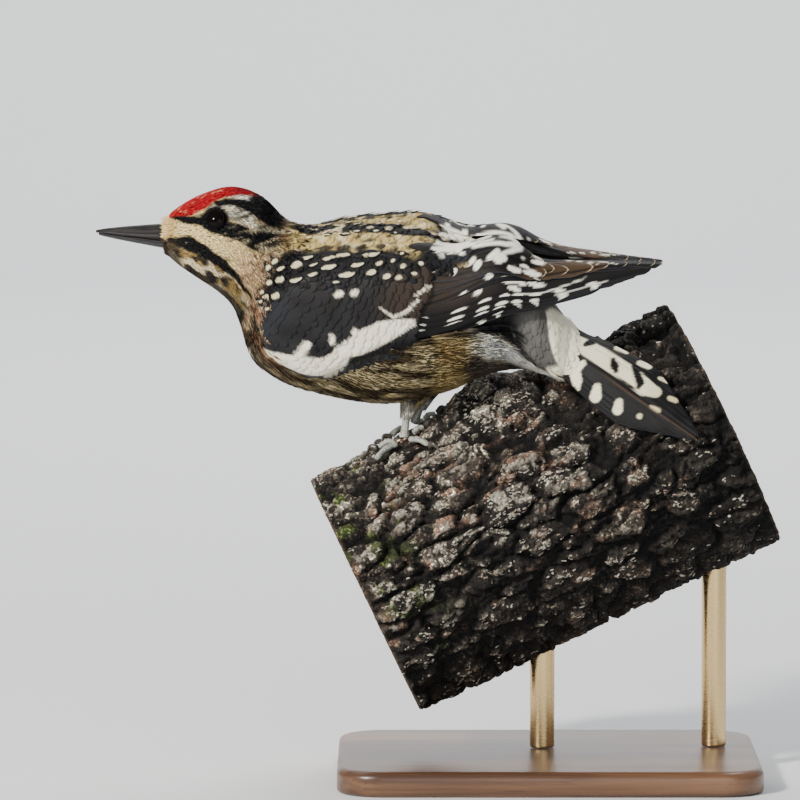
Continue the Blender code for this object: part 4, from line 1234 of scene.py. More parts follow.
# cream drops over the scapulars: station and degrees of the middle, length in mm
DROPS = ((5.92, 53, 4.0), (5.13, 60, 2.4), (5.02, 70, 2.4), (5.30, 81, 2.2), (5.50, 91, 2.2),
         (5.62, 72, 3.0), (5.80, 84, 3.2), (6.12, 66, 3.2), (6.50, 57, 2.6), (6.80, 49, 3.8),
         (6.1, 44, 2.8), (6.7, 41, 3.4), (7.35, 51, 3.6), (7.48, 43, 3.2), (7.05, 36, 3.6),
         (7.75, 33, 4.4), (8.02, 39, 3.2), (8.75, 38, 3.2), (8.72, 45, 3.4), (7.90, 46, 3.2),
         (8.38, 46, 3.6), (8.4, 36, 2.8), (6.90, 11, 2.0), (7.15, 7, 1.8), (7.65, 6, 1.8), (6.4, 12, 1.6),
         (8.2, 7, 1.8), (5.42, 64, 2.0), (5.22, 93, 1.8), (5.35, 101, 1.5), (7.2, 57, 1.6), (9.1, 41, 2.4),
         (8.6, 30, 2.4), (9.2, 34, 2.2), (5.78, 97, 1.6), (6.35, 50, 2.0))


def make_drops(finish):
    """Dark feathers over the scapulars, each with a pale drop painted on it."""
    rng = np.random.default_rng(8)
    s, turn, size = np.array(DROPS).T
    for side, sign in SIDES:
        ks, _ = scales_at(on_back, s, sign * np.radians(turn))
        laid = lay_coat(on_back, SLEEK, s - ks * (size * 0.7 + 0.4), sign * np.radians(turn),
                        size * 1.2 + 1.2, size * 0.70 + 0.7, 0.1, 0.55,
                        -sign * rng.normal(0.10, 0.12, len(s)), 0.4, 0.10, 40)
        coat_piece(f"coat_drops_{side}", laid, finish, drop_tint)


def drop_tint(s, a, v, u, here_s, here_a, p):
    """Black, with uneven cream drops that stand steeply at the shoulder and lie flatter behind it."""
    at = unrolled(here_s, np.degrees(np.abs(here_a)))
    uneven = (grain(p, 0.9, 33) - 0.5) * 0.9
    pale = np.zeros(len(at))
    for place, turn, size in DROPS:
        lean = float(curve(place, ((5.1, 1.35), (5.8, 0.95), (6.6, 0.45), (8.0, 0.15), (9.2, 0.1))))
        lean = -lean if turn < 20 else lean
        d = at - unrolled(np.array(place), np.array(turn))
        along = d[:, 0] * math.cos(lean) - d[:, 1] * math.sin(lean)
        aside = d[:, 0] * math.sin(lean) + d[:, 1] * math.cos(lean)
        oval = np.hypot(along / (size * 0.46), aside / (size * 0.21)) + uneven
        pale = np.maximum(pale, ramp(oval, 1.15, 0.8))
    cream = mix(CREAM, WHITE, grain(p, 2.5, 34)) * (0.80, 0.80, 0.68)
    turn = np.degrees(np.abs(here_a))
    low = np.degrees(scapular_edge(here_s))
    ground = mix(BLACK * 1.6, wing_colour(here_s, turn, p), ramp(turn, low - 8, low + 1))
    # darker towards each root: painted shade
    return mix(ground, cream, pale) * (0.85 + 0.15 * v)[:, None]


def covert_tint(s, a, v, u, here_s, here_a, p):
    """Wing coverts: the wing's colour, each a little paler along its edge."""
    tint = wing_colour(here_s, np.degrees(np.abs(here_a)), p)
    edge = ramp(np.abs(u) + 0.6 * v, 0.95, 1.25) * ramp(tint.mean(axis=1), 0.3, 0.1)
    # slightly darker towards each root: painted shade
    return tint * (0.97 + 0.04 * v + 0.07 * edge)[:, None]


def make_covert_coat(finish):
    """The small coverts, tiled over the front of each folded wing."""
    rng = np.random.default_rng(6)
    for side, sign in SIDES:
        s, a = scatter(on_front, 4.9, 8.75, lambda s: scapular_edge(s) - 0.10, lambda s: wing_low(s) + 0.02,
                       2.4, 2.6, 31, 0.2)
        size = curve(s, ((5, 5.2), (6.5, 7.4), (8, 9.4), (8.7, 10.2))) * rng.uniform(0.94, 1.06, len(s))
        laid = lay_coat(on_front, SLEEK, s, sign * a, size, size * 0.80, 0.20, 0.04,
                        sign * -0.05 + rng.normal(0, 0.04, len(s)), 0.05, 0.09, 32)
        coat_piece(f"coat_coverts_{side}", laid, finish, covert_tint)


# ---------------------------------------------------------------- flight feathers
def quill_slab(start, end, share_at, width, rise, sign):
    """(points, faces, local coordinates, length) of one long feather of the folded wing.

    It runs from station start to end, at the share share_at(t) of the way up the wing.
    """
    thick, round_tip = 0.22, 0.7
    t = np.linspace(0, 1, int(70 + 10 * (end - start)))
    u = np.array((0.0, 0.035, 0.08, 0.14, 0.20, 0.27, 0.36, 0.48, 0.62, 0.78, 0.92, 1.0))
    T, U = np.meshgrid(t, u, indexing="ij")
    s = start + (end - start) * T
    low, high = curve(s, WING_LOWER), curve(s, WING_UPPER)
    turn = low + (high - low) * share_at(T)
    ks, ka = scales_at(on_wing, s.ravel(), np.radians(turn).ravel())
    length = 1.0 / float(ks.mean()) * (end - start)
    taper = np.minimum(1.0, np.sqrt(np.clip((1 - T) * length / (width * round_tip), 0, 1) + 1e-6))
    across = width * (U - 0.5) * taper
    turn = turn - across * np.degrees(ka).reshape(T.shape)
    rise = rise - 2.0 * ramp(turn, high + 2, high - 12) * ramp(s, 10.2, 9.4)
    lift = rise + 0.12 * np.sin(np.pi * U) - 2.2 * ramp(T, 0.22, 0.0)
    s, angle = s.ravel(), np.radians(turn).ravel()
    sides = [on_wing(s, sign * angle, (lift - drop).ravel()) for drop in (0.0, thick)]
    local = np.tile(np.stack((T.ravel(), U.ravel(), s, turn.ravel(), across.ravel()), -1), (2, 1))
    return np.vstack(sides), slab_faces(len(t), len(u)), local, length


def flight_tint(local, kind, crescent, sign):
    """Slate with thin pale edges, white bars where the stacked outer edges show, and pale tips."""
    t, u, s, turn = local[:, :4].T
    coloured, secondary = kind != "white", kind == "secondary"
    at = unrolled(s, turn)
    base = mix(BLACK * 1.3, UMBER * 1.2, ramp(turn, 66, 50) * ramp(turn, 20, 30) * ramp(s, 11.5, 9.5))
    base = mix(base * (1.10, 1.0, 0.88), BROWN * 0.75, 0.9 * secondary * ramp(t, 0.80, 0.94))
    tint = mix(base, SLATE * 3.0, ramp(u, 0.05, 0.0) * 0.8)
    tint = mix(tint, BLACK * 0.6, ramp(u, 0.16, 0.24) * ramp(u, 0.4, 0.26))
    for top, low, half in BARS:
        a, b = unrolled(*np.array(top)), unrolled(*np.array(low))
        along_bar = ((at - a) @ (b - a)) / ((b - a) @ (b - a))
        off = np.abs(np.cross((b - a) / np.linalg.norm(b - a), at - a))
        oval = np.hypot(off / half, (u - 0.105) / 0.115)
        tint = mix(tint, WHITE, ramp(oval, 1.12, 0.88) * (along_bar > -0.02) * (along_bar < 1.02))
    for place, degrees, long, high in BLOTS:
        d = at - unrolled(np.array(place), np.array(degrees))
        slant = d[:, 1] + 0.25 * d[:, 0]
        tint = mix(tint, WHITE, ramp(np.hypot(d[:, 0] / long, slant / high), 1.15, 0.9) * coloured)
    for ends in EDGES:
        tint = mix(tint, WHITE, mark(at, [(*end, 0.16) for end in ends], 0.12) * 0.8 * coloured)
    inner = at + (0.0, 4.0) if sign > 0 else at
    for keys in INNER_WHITES:
        tint = mix(tint, WHITE, mark(inner, keys, 0.55) * (not secondary) * ramp(turn, 38, 35))
    if crescent:
        rim = 2 * np.minimum(u, 1 - u) * np.sqrt(np.clip((1 - t) / 0.05, 0, 1)) + (1 - t) * 8
        fringe = ramp(rim, 0.13 * crescent, 0.05 * crescent) * ramp(t, 0.93, 0.965)
        tint = mix(tint, CREAM * 0.95, fringe)
    return tint


def wing_feathers():
    """(start, end station, start share across the wing, degrees at the tip, width, kind), lowest first."""
    rows = []
    tips = ((12.9, 48), (13.2, 43), (13.55, 38), (13.9, 33), (14.3, 26), (14.68, 10), (14.4, 6), (13.9, 8),
            (13.4, 12))
    for k, (end, turn) in enumerate(tips):
        rows.append((8.35, end, 0.105 + 0.05 * k, turn, 5.6 - 0.12 * k, "primary"))
    tips = ((12.95, 16), (12.70, 23), (12.37, 27), (12.17, 26), (12.05, 31))
    for k, (end, turn) in enumerate(tips):
        rows.append((8.25, end, 0.52 + 0.05 * k, turn, 6.4, "secondary"))
    inner = ((12.0, 20, 6.6, "tertial"), (11.75, 14, 7.0, "tertial"), (11.45, 8, 8.5, "white"))
    for k, (end, turn, width, kind) in enumerate(inner):
        rows.append((8.1 + 0.1 * k, end, 0.76 + 0.05 * k, turn, width, kind))
    return rows


def make_underlay(side, sign, finish):
    """A dark shell under the folded wing."""
    rings, count = [], 22
    for s in np.linspace(5.5, 13.9, 90):
        low, high = float(curve(s, WING_LOWER)), float(curve(s, WING_UPPER))
        middle = (low + high) / 2
        narrow = float(ramp(s, 14.1, 12.0))
        low, high = middle + (low - middle) * narrow, middle + (high - middle) * narrow
        inset = math.degrees(0.7 / float(curve(s, WING_GIRTH)))
        share = 0.25 + 0.75 * math.sqrt(max(0.0, 1 - max(0.0, 1 - (s - 5.3) / 1.2) ** 2))
        turns = np.radians(middle + (np.linspace(low - inset, high + inset, count) - middle) * share)
        at = np.full(count, s)
        outer = on_wing(at, sign * turns, -0.9 - 1.6 * ramp(at, 6.6, 5.4))
        inner = pose(*upright(WING_BED, at, sign * turns, curve(at, WING_CLEAR) - 0.2), twist=False)
        rings.append(np.vstack((outer, inner[::-1])))
    points, faces = lofted(rings)
    points, faces = points[:-2], faces[faces[:, 3] >= 0]
    k, around = np.arange(count - 1), 2 * count
    for base, step in ((0, 1), ((len(rings) - 1) * around, -1)):
        cap = np.stack((base + k, base + k + 1, base + around - 2 - k, base + around - 1 - k), -1)
        faces = np.vstack((faces, cap[:, ::step]))
    tint = np.tile(BLACK * 1.4, (len(points), 1))
    outward(make_piece(f"wing_{side}_underlay", points, faces, finish, (f"wing_{side}_coverts",), tint,
                       barb=points[:, :2]))


def make_wings(finish):
    """A dark shell under each folded wing, and its long feathers lying over it and running free behind."""
    for side, sign in SIDES:
        make_underlay(side, sign, finish)
        parts, tints, barbs, bakes = [], [], [], []
        for k, (start, end, share0, share1, width, kind) in enumerate(wing_feathers()):
            bend = 1.5 if kind == "primary" else 1.3
            lowest, highest = curve(end, WING_LOWER), curve(end, WING_UPPER)
            end_share = float((lowest - share1) / (lowest - highest))
            points, faces, local, length = quill_slab(start, end,
                                                      lambda t: share0 + (end_share - share0) * t**bend,
                                                      width, -1.15 + 0.095 * k, sign)
            crescent = {"primary": 1.3 + 0.6 * (k > 4), "secondary": 1.8, "tertial": 1.3,
                        "white": 0.0}[kind]
            parts.append((points, faces))
            tints.append(flight_tint(local, kind, crescent, sign))
            barbs.append(np.column_stack((np.abs(local[:, 4]), local[:, 0] * length)))
            bakes.append(np.column_stack((0.62 + 0.0235 * k + 0.018 * local[:, 1], local[:, 0] * 0.9)))
        points, faces = joined(parts)
        outward(make_piece(f"flight_feathers_{side}", points, faces, finish, (f"wing_{side}_flight",),
                           np.vstack(tints), np.vstack(bakes), np.vstack(barbs)))


# ---------------------------------------------------------------- tail
TAIL_TURN = (Matrix.Rotation(-math.radians(20), 3, "Z") @ Matrix.Rotation(math.radians(32), 3, "Y")
             @ Matrix.Rotation(math.radians(64), 3, "X"))
TAIL_ROOT = np.array((7.2, -22.3, 139.4))
TAIL_LENGTH = 50.0


def on_tail(x, y, h):
    """Points of the tail's own frame: x along it, y to its right, h out of its upper face."""
    return TAIL_ROOT + np.stack((x, y, h), -1) @ np.array(TAIL_TURN).T


def tail_half(x):
    """Half the tail's width in mm at x mm from its root."""
    bare = np.clip(x / TAIL_LENGTH, 0, 2)
    return 11.25 * (0.60 + 0.40 * np.minimum(1, bare / 0.5)) * (1 - 0.92 * np.maximum(0, bare - 0.5))


def painted(at, keys, soft=0.25):
    """1 inside a stroke through keys (x, y, half width) in mm, 0 outside it."""
    keys = np.atleast_2d(np.array(keys, float))
    best = np.full(len(at), 99.0)
    for a, b in zip(keys, keys[1:] if len(keys) > 1 else keys):
        run = b[:2] - a[:2]
        t = np.clip(((at - a[:2]) @ run) / max(run @ run, 1e-9), 0, 1)
        best = np.minimum(best, np.hypot(*(at - a[:2] - t[:, None] * run).T) - (a[2] + (b[2] - a[2]) * t))
    return ramp(best, soft, -soft)


TAIL_WHITES = (  # strokes in the tail's own frame: keys of x, y and half width in mm
    ((-12, 0.6, 0.6), (-3, 3.4, 1.6), (4, 3.4, 3.0), (14, 3.9, 3.2), (20, 4.2, 2.9), (26, 3.4, 2.9),
     (29.5, 4.2, 2.0)),
    ((5.5, -1.6, 0.9), (4.4, -5.0, 1.8), (7.0, -7.2, 1.6), (8.8, -8.8, 0.4)),
    ((13.6, -5.4, 1.2), (14.8, -7.8, 1.9)), ((22.2, -5.4, 1.2), (23.2, -7.4, 1.6)), ((30.2, -5.2, 0.8),),
    ((10.5, 9.2, 0.7), (13.5, 10.2, 1.1)), ((19.6, 9.4, 0.9), (22.4, 10.2, 1.1)),
    ((27.8, 9.0, 0.6), (30.0, 9.8, 0.9)),
    ((34.6, 5.4, 0.9), (36.2, 5.9, 0.9)), ((31.6, -0.6, 0.5), (34.0, -0.4, 0.8)),
)
TAIL_BLACKS = (  # strokes over the white ones, in the same terms
    ((2.2, 3.9, 0.8), (3.0, 6.0, 1.4)), ((12.4, 5.0, 0.9), (14.0, 3.6, 1.5), (15.4, 2.4, 0.9)),
    ((18.9, 7.2, 0.9), (21.6, 5.5, 1.3), (23.9, 3.9, 1.4), (24.4, 2.2, 0.7)),
    ((14.0, 0.4, 0.2), (20.5, 0.7, 0.35), (25.0, 1.6, 0.2)),
    ((6.0, -0.5, 0.35), (20.0, -1.6, 0.5), (40.0, -3.0, 0.6)),
)


def tail_tint(x, y, p):
    """Black, with the white marks of the tail's middle feathers and spotted outer ones."""
    at = np.stack((x, y), -1)
    tint = mix(BLACK * 1.2, SLATE * (1.1, 1.0, 0.85), grain(p, 4.0, 51) * 0.7)
    white = mix(WHITE * (1, 0.98, 0.86), STRAW, ramp(x, 22, 40) * 0.7 + grain(p, 3.0, 52) * 0.2)
    for keys in TAIL_WHITES:
        tint = mix(tint, white, painted(at, keys))
    for keys in TAIL_BLACKS:
        tint = mix(tint, BLACK * 1.3, painted(at, keys))
    return tint


def make_tail(finish):
    """Ten stiff pointed feathers, the middle pair uppermost, each with a pale raised shaft."""
    parts, tints, barbs, bakes = [], [], [], []
    tips = (0.13, 0.38, 0.60, 0.79, 0.95)
    rows, cols = 110, 15
    for order, tip in reversed(list(enumerate(tips))):
        for sign in (-1, 1):
            reach = TAIL_LENGTH * (1.0 - 0.34 * tip**1.5)
            t, u = np.meshgrid(np.linspace(0, 1, rows), np.linspace(-1, 1, cols), indexing="ij")
            x = -7.0 + (reach + 7.0) * t
            wide = (4.6 - 0.35 * order) * (0.62 + 0.38 * ramp(t, 0, 0.4))
            wide = wide * np.sqrt(np.clip(1 - np.maximum(0, (t - 0.45) / 0.55) ** 1.5, 0, 1)) + 0.06
            y = sign * tip * tail_half(x) * 0.80 + u * wide
            share = np.clip(np.abs(y) / tail_half(x), 0, 1.2)
            h = 1.9 * (1 - share**1.6) - 2.4 * (np.maximum(0, x) / TAIL_LENGTH) ** 2 - 0.18 * order
            h = h + 0.05 * (sign < 0) - 0.25 * u * u
            shaft = np.exp(-((u * wide) / 0.28) ** 2)
            points = np.vstack((on_tail(x.ravel(), y.ravel(), (h + 0.25 * shaft + 0.45).ravel()),
                                on_tail(x.ravel(), y.ravel(), (h + 0.25 - 0.15 * shaft).ravel())))
            parts.append((points, slab_faces(rows, cols)))
            tint = tail_tint(x.ravel(), y.ravel(), points[:rows * cols])
            bright = 0.7 if (order == 0 and sign < 0) else 0.06
            tint = mix(tint, BROWN * 0.9, (shaft * ramp(t, 0.25, 0.5)).ravel() * bright)
            tints.append(np.vstack((tint, tint * 0.8)))
            barbs.append(np.tile(np.stack((np.abs(u * wide).ravel(), x.ravel()), -1), (2, 1)))
            slot = 2 * order + (sign > 0)
            bakes.append(np.tile(np.stack((0.05 + 0.09 * slot + 0.07 * (u.ravel() + 1) / 2,
                                           t.ravel() * 0.45), -1), (2, 1)))
    points, faces = joined(parts)
    outward(make_piece("tail_feathers", points, faces, finish, ("tail",), np.vstack(tints),
                       np.vstack(bakes), np.vstack(barbs)))


# ---------------------------------------------------------------- perch
def plates(points, seed):
    """Irregular plates: (distance to the nearest edge, a number from 0 to 1 for each plate)."""
    cell = np.floor(points).astype(np.int64)
    first, second = np.full(len(points), 9.0), np.full(len(points), 9.0)
    owner = np.zeros(len(points))
    for corner in np.ndindex(3, 3, 3):
        c = cell + np.array(corner) - 1
        n = (c @ SCRAMBLE + seed * 7919) & LOW_BITS
        jig = []
        for _ in range(4):
            n = ((n ^ (n >> 12)) * 668265263 + 374761) & LOW_BITS
            jig.append(n / LOW_BITS)
        d = np.linalg.norm(points - c - np.stack(jig[:3], -1), axis=1)
        nearer = d < first
        second = np.where(nearer, first, np.minimum(second, d))
        owner = np.where(nearer, jig[3], owner)
        first = np.minimum(first, d)
    return second - first, owner


def bark_relief(s, angle):
    """(height of the bark's surface in mm, how deep in a furrow, two numbers of the plate there)."""
    ring = np.stack((np.cos(angle) * LIMB_RADIUS, np.sin(angle) * LIMB_RADIUS), -1)

    def layer(long, wide, seed):
        return grain(np.column_stack((s / long, ring / wide)), 1.0, seed)

    def sway(long, wide, seed):
        return np.stack([layer(long, wide, seed + k) for k in range(3)], -1) - 0.5

    bend = sway(9, 5, 61) * (7.0, 4.0, 4.0) + sway(3, 2, 64) * (2.4, 1.6, 1.6)
    at = np.column_stack((s, ring)) + bend
    big, kind = plates(at / (17.0, 8.5, 8.5), 1)
    small, flake = plates(at / (6.5, 3.6, 3.6), 2)
    crumb, chip = plates(at / (2.3, 1.7, 1.7), 3)
    aside = wrapped(angle) * LIMB_RADIUS
    calm = np.exp(-((s - 2) / 17) ** 2 - (aside / 22) ** 2)
    furrow = ramp(big, 0.26, 0.02) * 2.6 + ramp(small, 0.20, 0.02) * 1.0
    height = 0.35 - furrow * (1 - 0.65 * calm) + (kind - 0.5) * 1.3 * (1 - 0.7 * calm) + (flake - 0.5) * 1.1
    height = height + (chip - 0.5) * 0.55 + (layer(1.5, 1.2, 69) - 0.5) * 0.6
    height = height - ramp(crumb, 0.18, 0.02) * 0.25
    knot = KNOT_HEIGHT * np.exp(-((s - 29.0) / 12.0) ** 2 - (aside / 20.0) ** 2)
    return np.clip(height, -5.0, 1.25) + knot, np.clip(furrow / 2.6, 0, 1), flake, chip


def bark_material():
    """Rough bark, coloured by the tint attribute, with pale flecks where the attribute's alpha is 1."""
    material, n, shader = new_material("bark_rough", Specular_IOR_Level=0.25)
    place = object_coords(n)
    painted_on = n.add("ShaderNodeAttribute", attribute_name="tint")
    tint, barky = painted_on.outputs["Color"], painted_on.outputs["Alpha"]
    grit = n.noise(place, 1300.0, 5.0, 0.7)
    mottle = n.noise(place, 420.0, 4.0, 0.65)
    dark = n.blend(1.0, tint, (0.30, 0.29, 0.28), "MULTIPLY")
    light = n.blend(1.0, tint, (2.1, 2.0, 1.9), "MULTIPLY")
    mixed = n.math("ADD", n.math("MULTIPLY", grit, 0.6), n.math("MULTIPLY", mottle, 0.4))
    ground = n.blend(n.span(mixed, 0.38, 0.62), dark, light)
    specks, patches = n.noise(place, 850.0, 2.0, 0.5), n.noise(place, 75.0, 3.0, 0.6)
    crust = n.math("MULTIPLY", n.span(specks, 0.56, 0.63), n.span(patches, 0.44, 0.58))
    flecks = n.blend(1.0, tint, (7.5, 7.3, 6.4), "MULTIPLY")
    sawn = n.blend(n.span(grit, 0.3, 0.7), n.blend(1.0, tint, (0.72, 0.70, 0.68), "MULTIPLY"), tint)
    n.join(n.blend(barky, sawn, n.blend(crust, ground, flecks)), shader.inputs["Base Color"])
    n.join(n.span(grit, 0.3, 0.7, 0.95, 0.7), shader.inputs["Roughness"])
    set_bump(n, shader, grit, 0.7, 0.0005)
    return material


def bark_tint(s, flat, sunny, height, deep, flake, chip):
    """Brown-black bark, redder and greyer on some plates, with pale chips and a little moss, these mostly
    on the lit side; painted shade darkens the furrows and the side away from the light.
    """
    tint = mix((0.012, 0.010, 0.009), (0.060, 0.050, 0.042), grain(flat, (7, 3, 3), 71) * flake)
    red = ramp(grain(flat, (7, 3.6, 3.6), 72), 0.60, 0.70) * ramp(flake, 0.35, 0.6)
    tint = mix(tint, (0.20, 0.125, 0.090), red * sunny * 0.9)
    grey = ramp(chip, 0.55, 0.8) * ramp(flake, 0.5, 0.8)
    tint = mix(tint, (0.15, 0.13, 0.105), grey * (0.3 + 0.5 * sunny))
    fleck = ramp(chip, 0.58, 0.72) * ramp(grain(flat, (8, 6, 6), 74), 0.36, 0.52)
    tint = mix(tint, (0.26, 0.25, 0.21), fleck * ramp(height, -0.8, 0.0) * sunny * 0.8)
    moss = ramp(grain(flat, (5, 4, 4), 75), 0.62, 0.72) * ramp(s, 0, -25) * sunny
    tint = mix(tint, (0.035, 0.050, 0.012), moss * 0.8)
    # painted shade: darker deep in the furrows, and where sunny is low
    return tint * (1 - 0.9 * deep)[:, None] * (0.28 + 0.72 * sunny)[:, None]


def sawn_end(rim, end, order, a):
    """(rings, tints) of a sawn face inwards from its rim, with growth rings and three radial cracks."""
    centre, whole = LIMB_FOOT + AHEAD * end, np.ones(len(a))
    rings, tints = [], []
    for share in np.append(np.linspace(0.985, 0.05, 34), 0.02):
        out = share * LIMB_RADIUS
        saw = grain(np.column_stack((np.cos(a) * out, np.sin(a) * out, a * 0)), (0.9, 6, 1), 81) - 0.5
        rings.append(centre + AHEAD * order * 0.9 + (rim - centre) * share + AHEAD * (saw * 0.25)[:, None])
        wavy = out + 1.2 * np.sin(a * 2 + 1) + 0.5 * np.sin(a * 5)
        line = 0.5 + 0.5 * np.sin(wavy * 2 * math.pi / GROWTH_RING)
        wood = mix((0.42, 0.27, 0.14), (0.27, 0.15, 0.07), line * 0.7)
        wood = mix(wood, (0.20, 0.11, 0.055), whole * ramp(share, 0.5, 0.3))
        crack = ramp(np.abs(np.sin((a - 0.7) * 1.5)) * out, 0.8, 0.2)
        crack = crack * ramp(share, 0.1, 0.3) * ramp(share, 0.9, 0.6)
        wood = mix(wood, (0.02, 0.012, 0.008), crack * 0.9)
        tints.append(mix(wood, (0.07, 0.045, 0.03), whole * ramp(share, 0.90, 0.93)))
    return rings, tints


def make_perch():
    """The cut limb: deeply furrowed bark, flecked with lichen, and two sawn ends with growth rings."""
    rows, cols = 190, 380
    a = turns_round(cols)
    S, A = (grid.ravel() for grid in np.meshgrid(np.linspace(LIMB_LOW, LIMB_HIGH, rows), a, indexing="ij"))
    height, deep, flake, chip = bark_relief(S, A)
    flat = np.column_stack((S, np.cos(A) * LIMB_RADIUS, np.sin(A) * LIMB_RADIUS))
    # sunny: painted light and shade, bright on the side towards the key light, dark below and towards the
    # high end
    sunny = np.clip(0.5 + 0.5 * np.cos(A + 0.7), 0, 1) ** 1.4 * ramp(S, 110, 10)
    rings = list(on_limb(S, A, height).reshape(rows, cols, 3))
    tints = list(bark_tint(S, flat, sunny, height, deep, flake, chip).reshape(rows, cols, 3))
    low_rings, low_tints = sawn_end(rings[0], LIMB_LOW, -1, a)
    high_rings, high_tints = sawn_end(rings[-1], LIMB_HIGH, 1, a)
    points, faces = lofted(low_rings[::-1] + rings + high_rings)
    ends = len(low_rings) * cols
    barky = np.concatenate((np.zeros(ends), np.ones(rows * cols), np.zeros(ends + 2)))
    tint = capped(np.vstack(low_tints[::-1] + tints + high_tints))
    limb = outward(make_piece("perch_limb", points, faces, bark_material(), ("perch",),
                              np.column_stack((tint, barky))))
    # the pale flakes gather where sunny's painted light falls
    crust = ramp(height, -1.0, 0.2) * (0.10 + 0.90 * sunny) * ramp(grain(flat, (9, 5, 5), 76), 0.34, 0.62)
    crust = crust * (0.25 + 0.75 * ramp(np.hypot(S - 2, wrapped(A) * LIMB_RADIUS), 10, 20))
    spread = barky.copy()
    spread[ends:ends + len(crust)] = crust
    make_crust(limb, spread)


def crust_tree(material):
    """A Geometry Nodes tree that scatters small crusty flakes over bark, lying along the limb."""
    tree = bpy.data.node_groups.new("bark_crust_flakes", "GeometryNodeTree")
    tree.is_modifier = True
    for label, kind in (("Bark", "Geometry"), ("Flakes per m2", "Float"), ("Flake size", "Float"),
                        ("Along", "Vector"), ("Seed", "Int")):
        tree.interface.new_socket(label, in_out="INPUT", socket_type="NodeSocket" + kind)
    tree.interface.new_socket("Crust", in_out="OUTPUT", socket_type="NodeSocketGeometry")
    n = Nodes(tree)
    given = n.add("NodeGroupInput").outputs
    share = n.feed(n.add("GeometryNodeInputNamedAttribute", data_type="FLOAT"),
                   Name="crust").outputs["Attribute"]
    spread = n.feed(n.add("GeometryNodeDistributePointsOnFaces"), Mesh=given["Bark"], Seed=given["Seed"],
                    Density=n.math("MULTIPLY", given["Flakes per m2"], share))
    sway = n.random_vector((-0.8, -0.8, -0.8), (0.8, 0.8, 0.8), given["Seed"])
    lie = n.vectors("ADD", given["Along"], sway)
    up = n.feed(n.add("FunctionNodeAlignRotationToVector", axis="Z"), Vector=spread.outputs["Normal"])
    turned = n.feed(n.add("FunctionNodeAlignRotationToVector", axis="X", pivot_axis="Z"),
                    Rotation=up.outputs[0], Vector=lie)
    flake = n.feed(n.add("GeometryNodeMeshIcoSphere"), Radius=given["Flake size"], Subdivisions=1)
    size = n.random_vector((0.25, 0.20, 0.10), (1.7, 0.80, 0.35), given["Seed"])
    laid = n.feed(n.add("GeometryNodeInstanceOnPoints"), Points=spread.outputs["Points"],
                  Instance=flake.outputs["Mesh"], Rotation=turned.outputs[0], Scale=size)
    solid = n.feed(n.add("GeometryNodeRealizeInstances"), Geometry=laid.outputs[0])
    crumble = n.feed(n.add("ShaderNodeTexNoise"), Scale=1400.0, Detail=2.0)
    centred = n.vectors("SUBTRACT", crumble.outputs["Color"], (0.5, 0.5, 0.5))
    push = n.vectors("SCALE", centred, n.math("MULTIPLY", given["Flake size"], 1.1))
    rough = n.feed(n.add("GeometryNodeSetPosition"), Geometry=solid.outputs[0], Offset=push)
    finish = n.feed(n.add("GeometryNodeSetMaterial"), Geometry=rough.outputs[0], Material=material)
    n.join(finish.outputs[0], n.add("NodeGroupOutput").inputs["Crust"])
    return tree


def make_crust(bark, crust):
    """Pale flakes of lichen and loose bark, thickest where crust, a number per point, is high."""
    material, n, shader = new_material("lichen_crust", Roughness=0.9, Specular_IOR_Level=0.2)
    place = object_coords(n)
    patch = n.span(n.noise(place, 130.0, 2.0), 0.42, 0.58)
    pale = n.blend(patch, (0.23, 0.215, 0.17), (0.20, 0.135, 0.105))
    n.join(n.blend(n.span(n.noise(place, 900.0, 3.0), 0.40, 0.62), pale, (0.42, 0.41, 0.34)),
           shader.inputs["Base Color"])
    mesh = bark.data.copy()
    layer = mesh.attributes.new("crust", "FLOAT", "POINT")
    layer.data.foreach_set("value", crust)
    source = bpy.data.objects.new("crust_source", mesh)
    bpy.context.scene.collection.objects.link(source)
    tree = crust_tree(material)
    modifier = source.modifiers.new("crust", "NODES")
    modifier.node_group = tree
    values = {"Flakes per m2": 800000.0, "Flake size": 0.00062, "Along": tuple(AHEAD), "Seed": 4}
    for socket in tree.interface.items_tree:
        if socket.in_out == "INPUT" and socket.name in values:
            modifier[socket.identifier] = values[socket.name]
    grown = bpy.data.meshes.new_from_object(source.evaluated_get(bpy.context.evaluated_depsgraph_get()))
    grown.name = "perch_crust"
    source.modifiers.remove(modifier)
    bpy.data.objects.remove(source)
    piece = bpy.data.objects.new("perch_crust", grown)
    bpy.context.scene.collection.objects.link(piece)
    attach(piece, "root")
    return piece


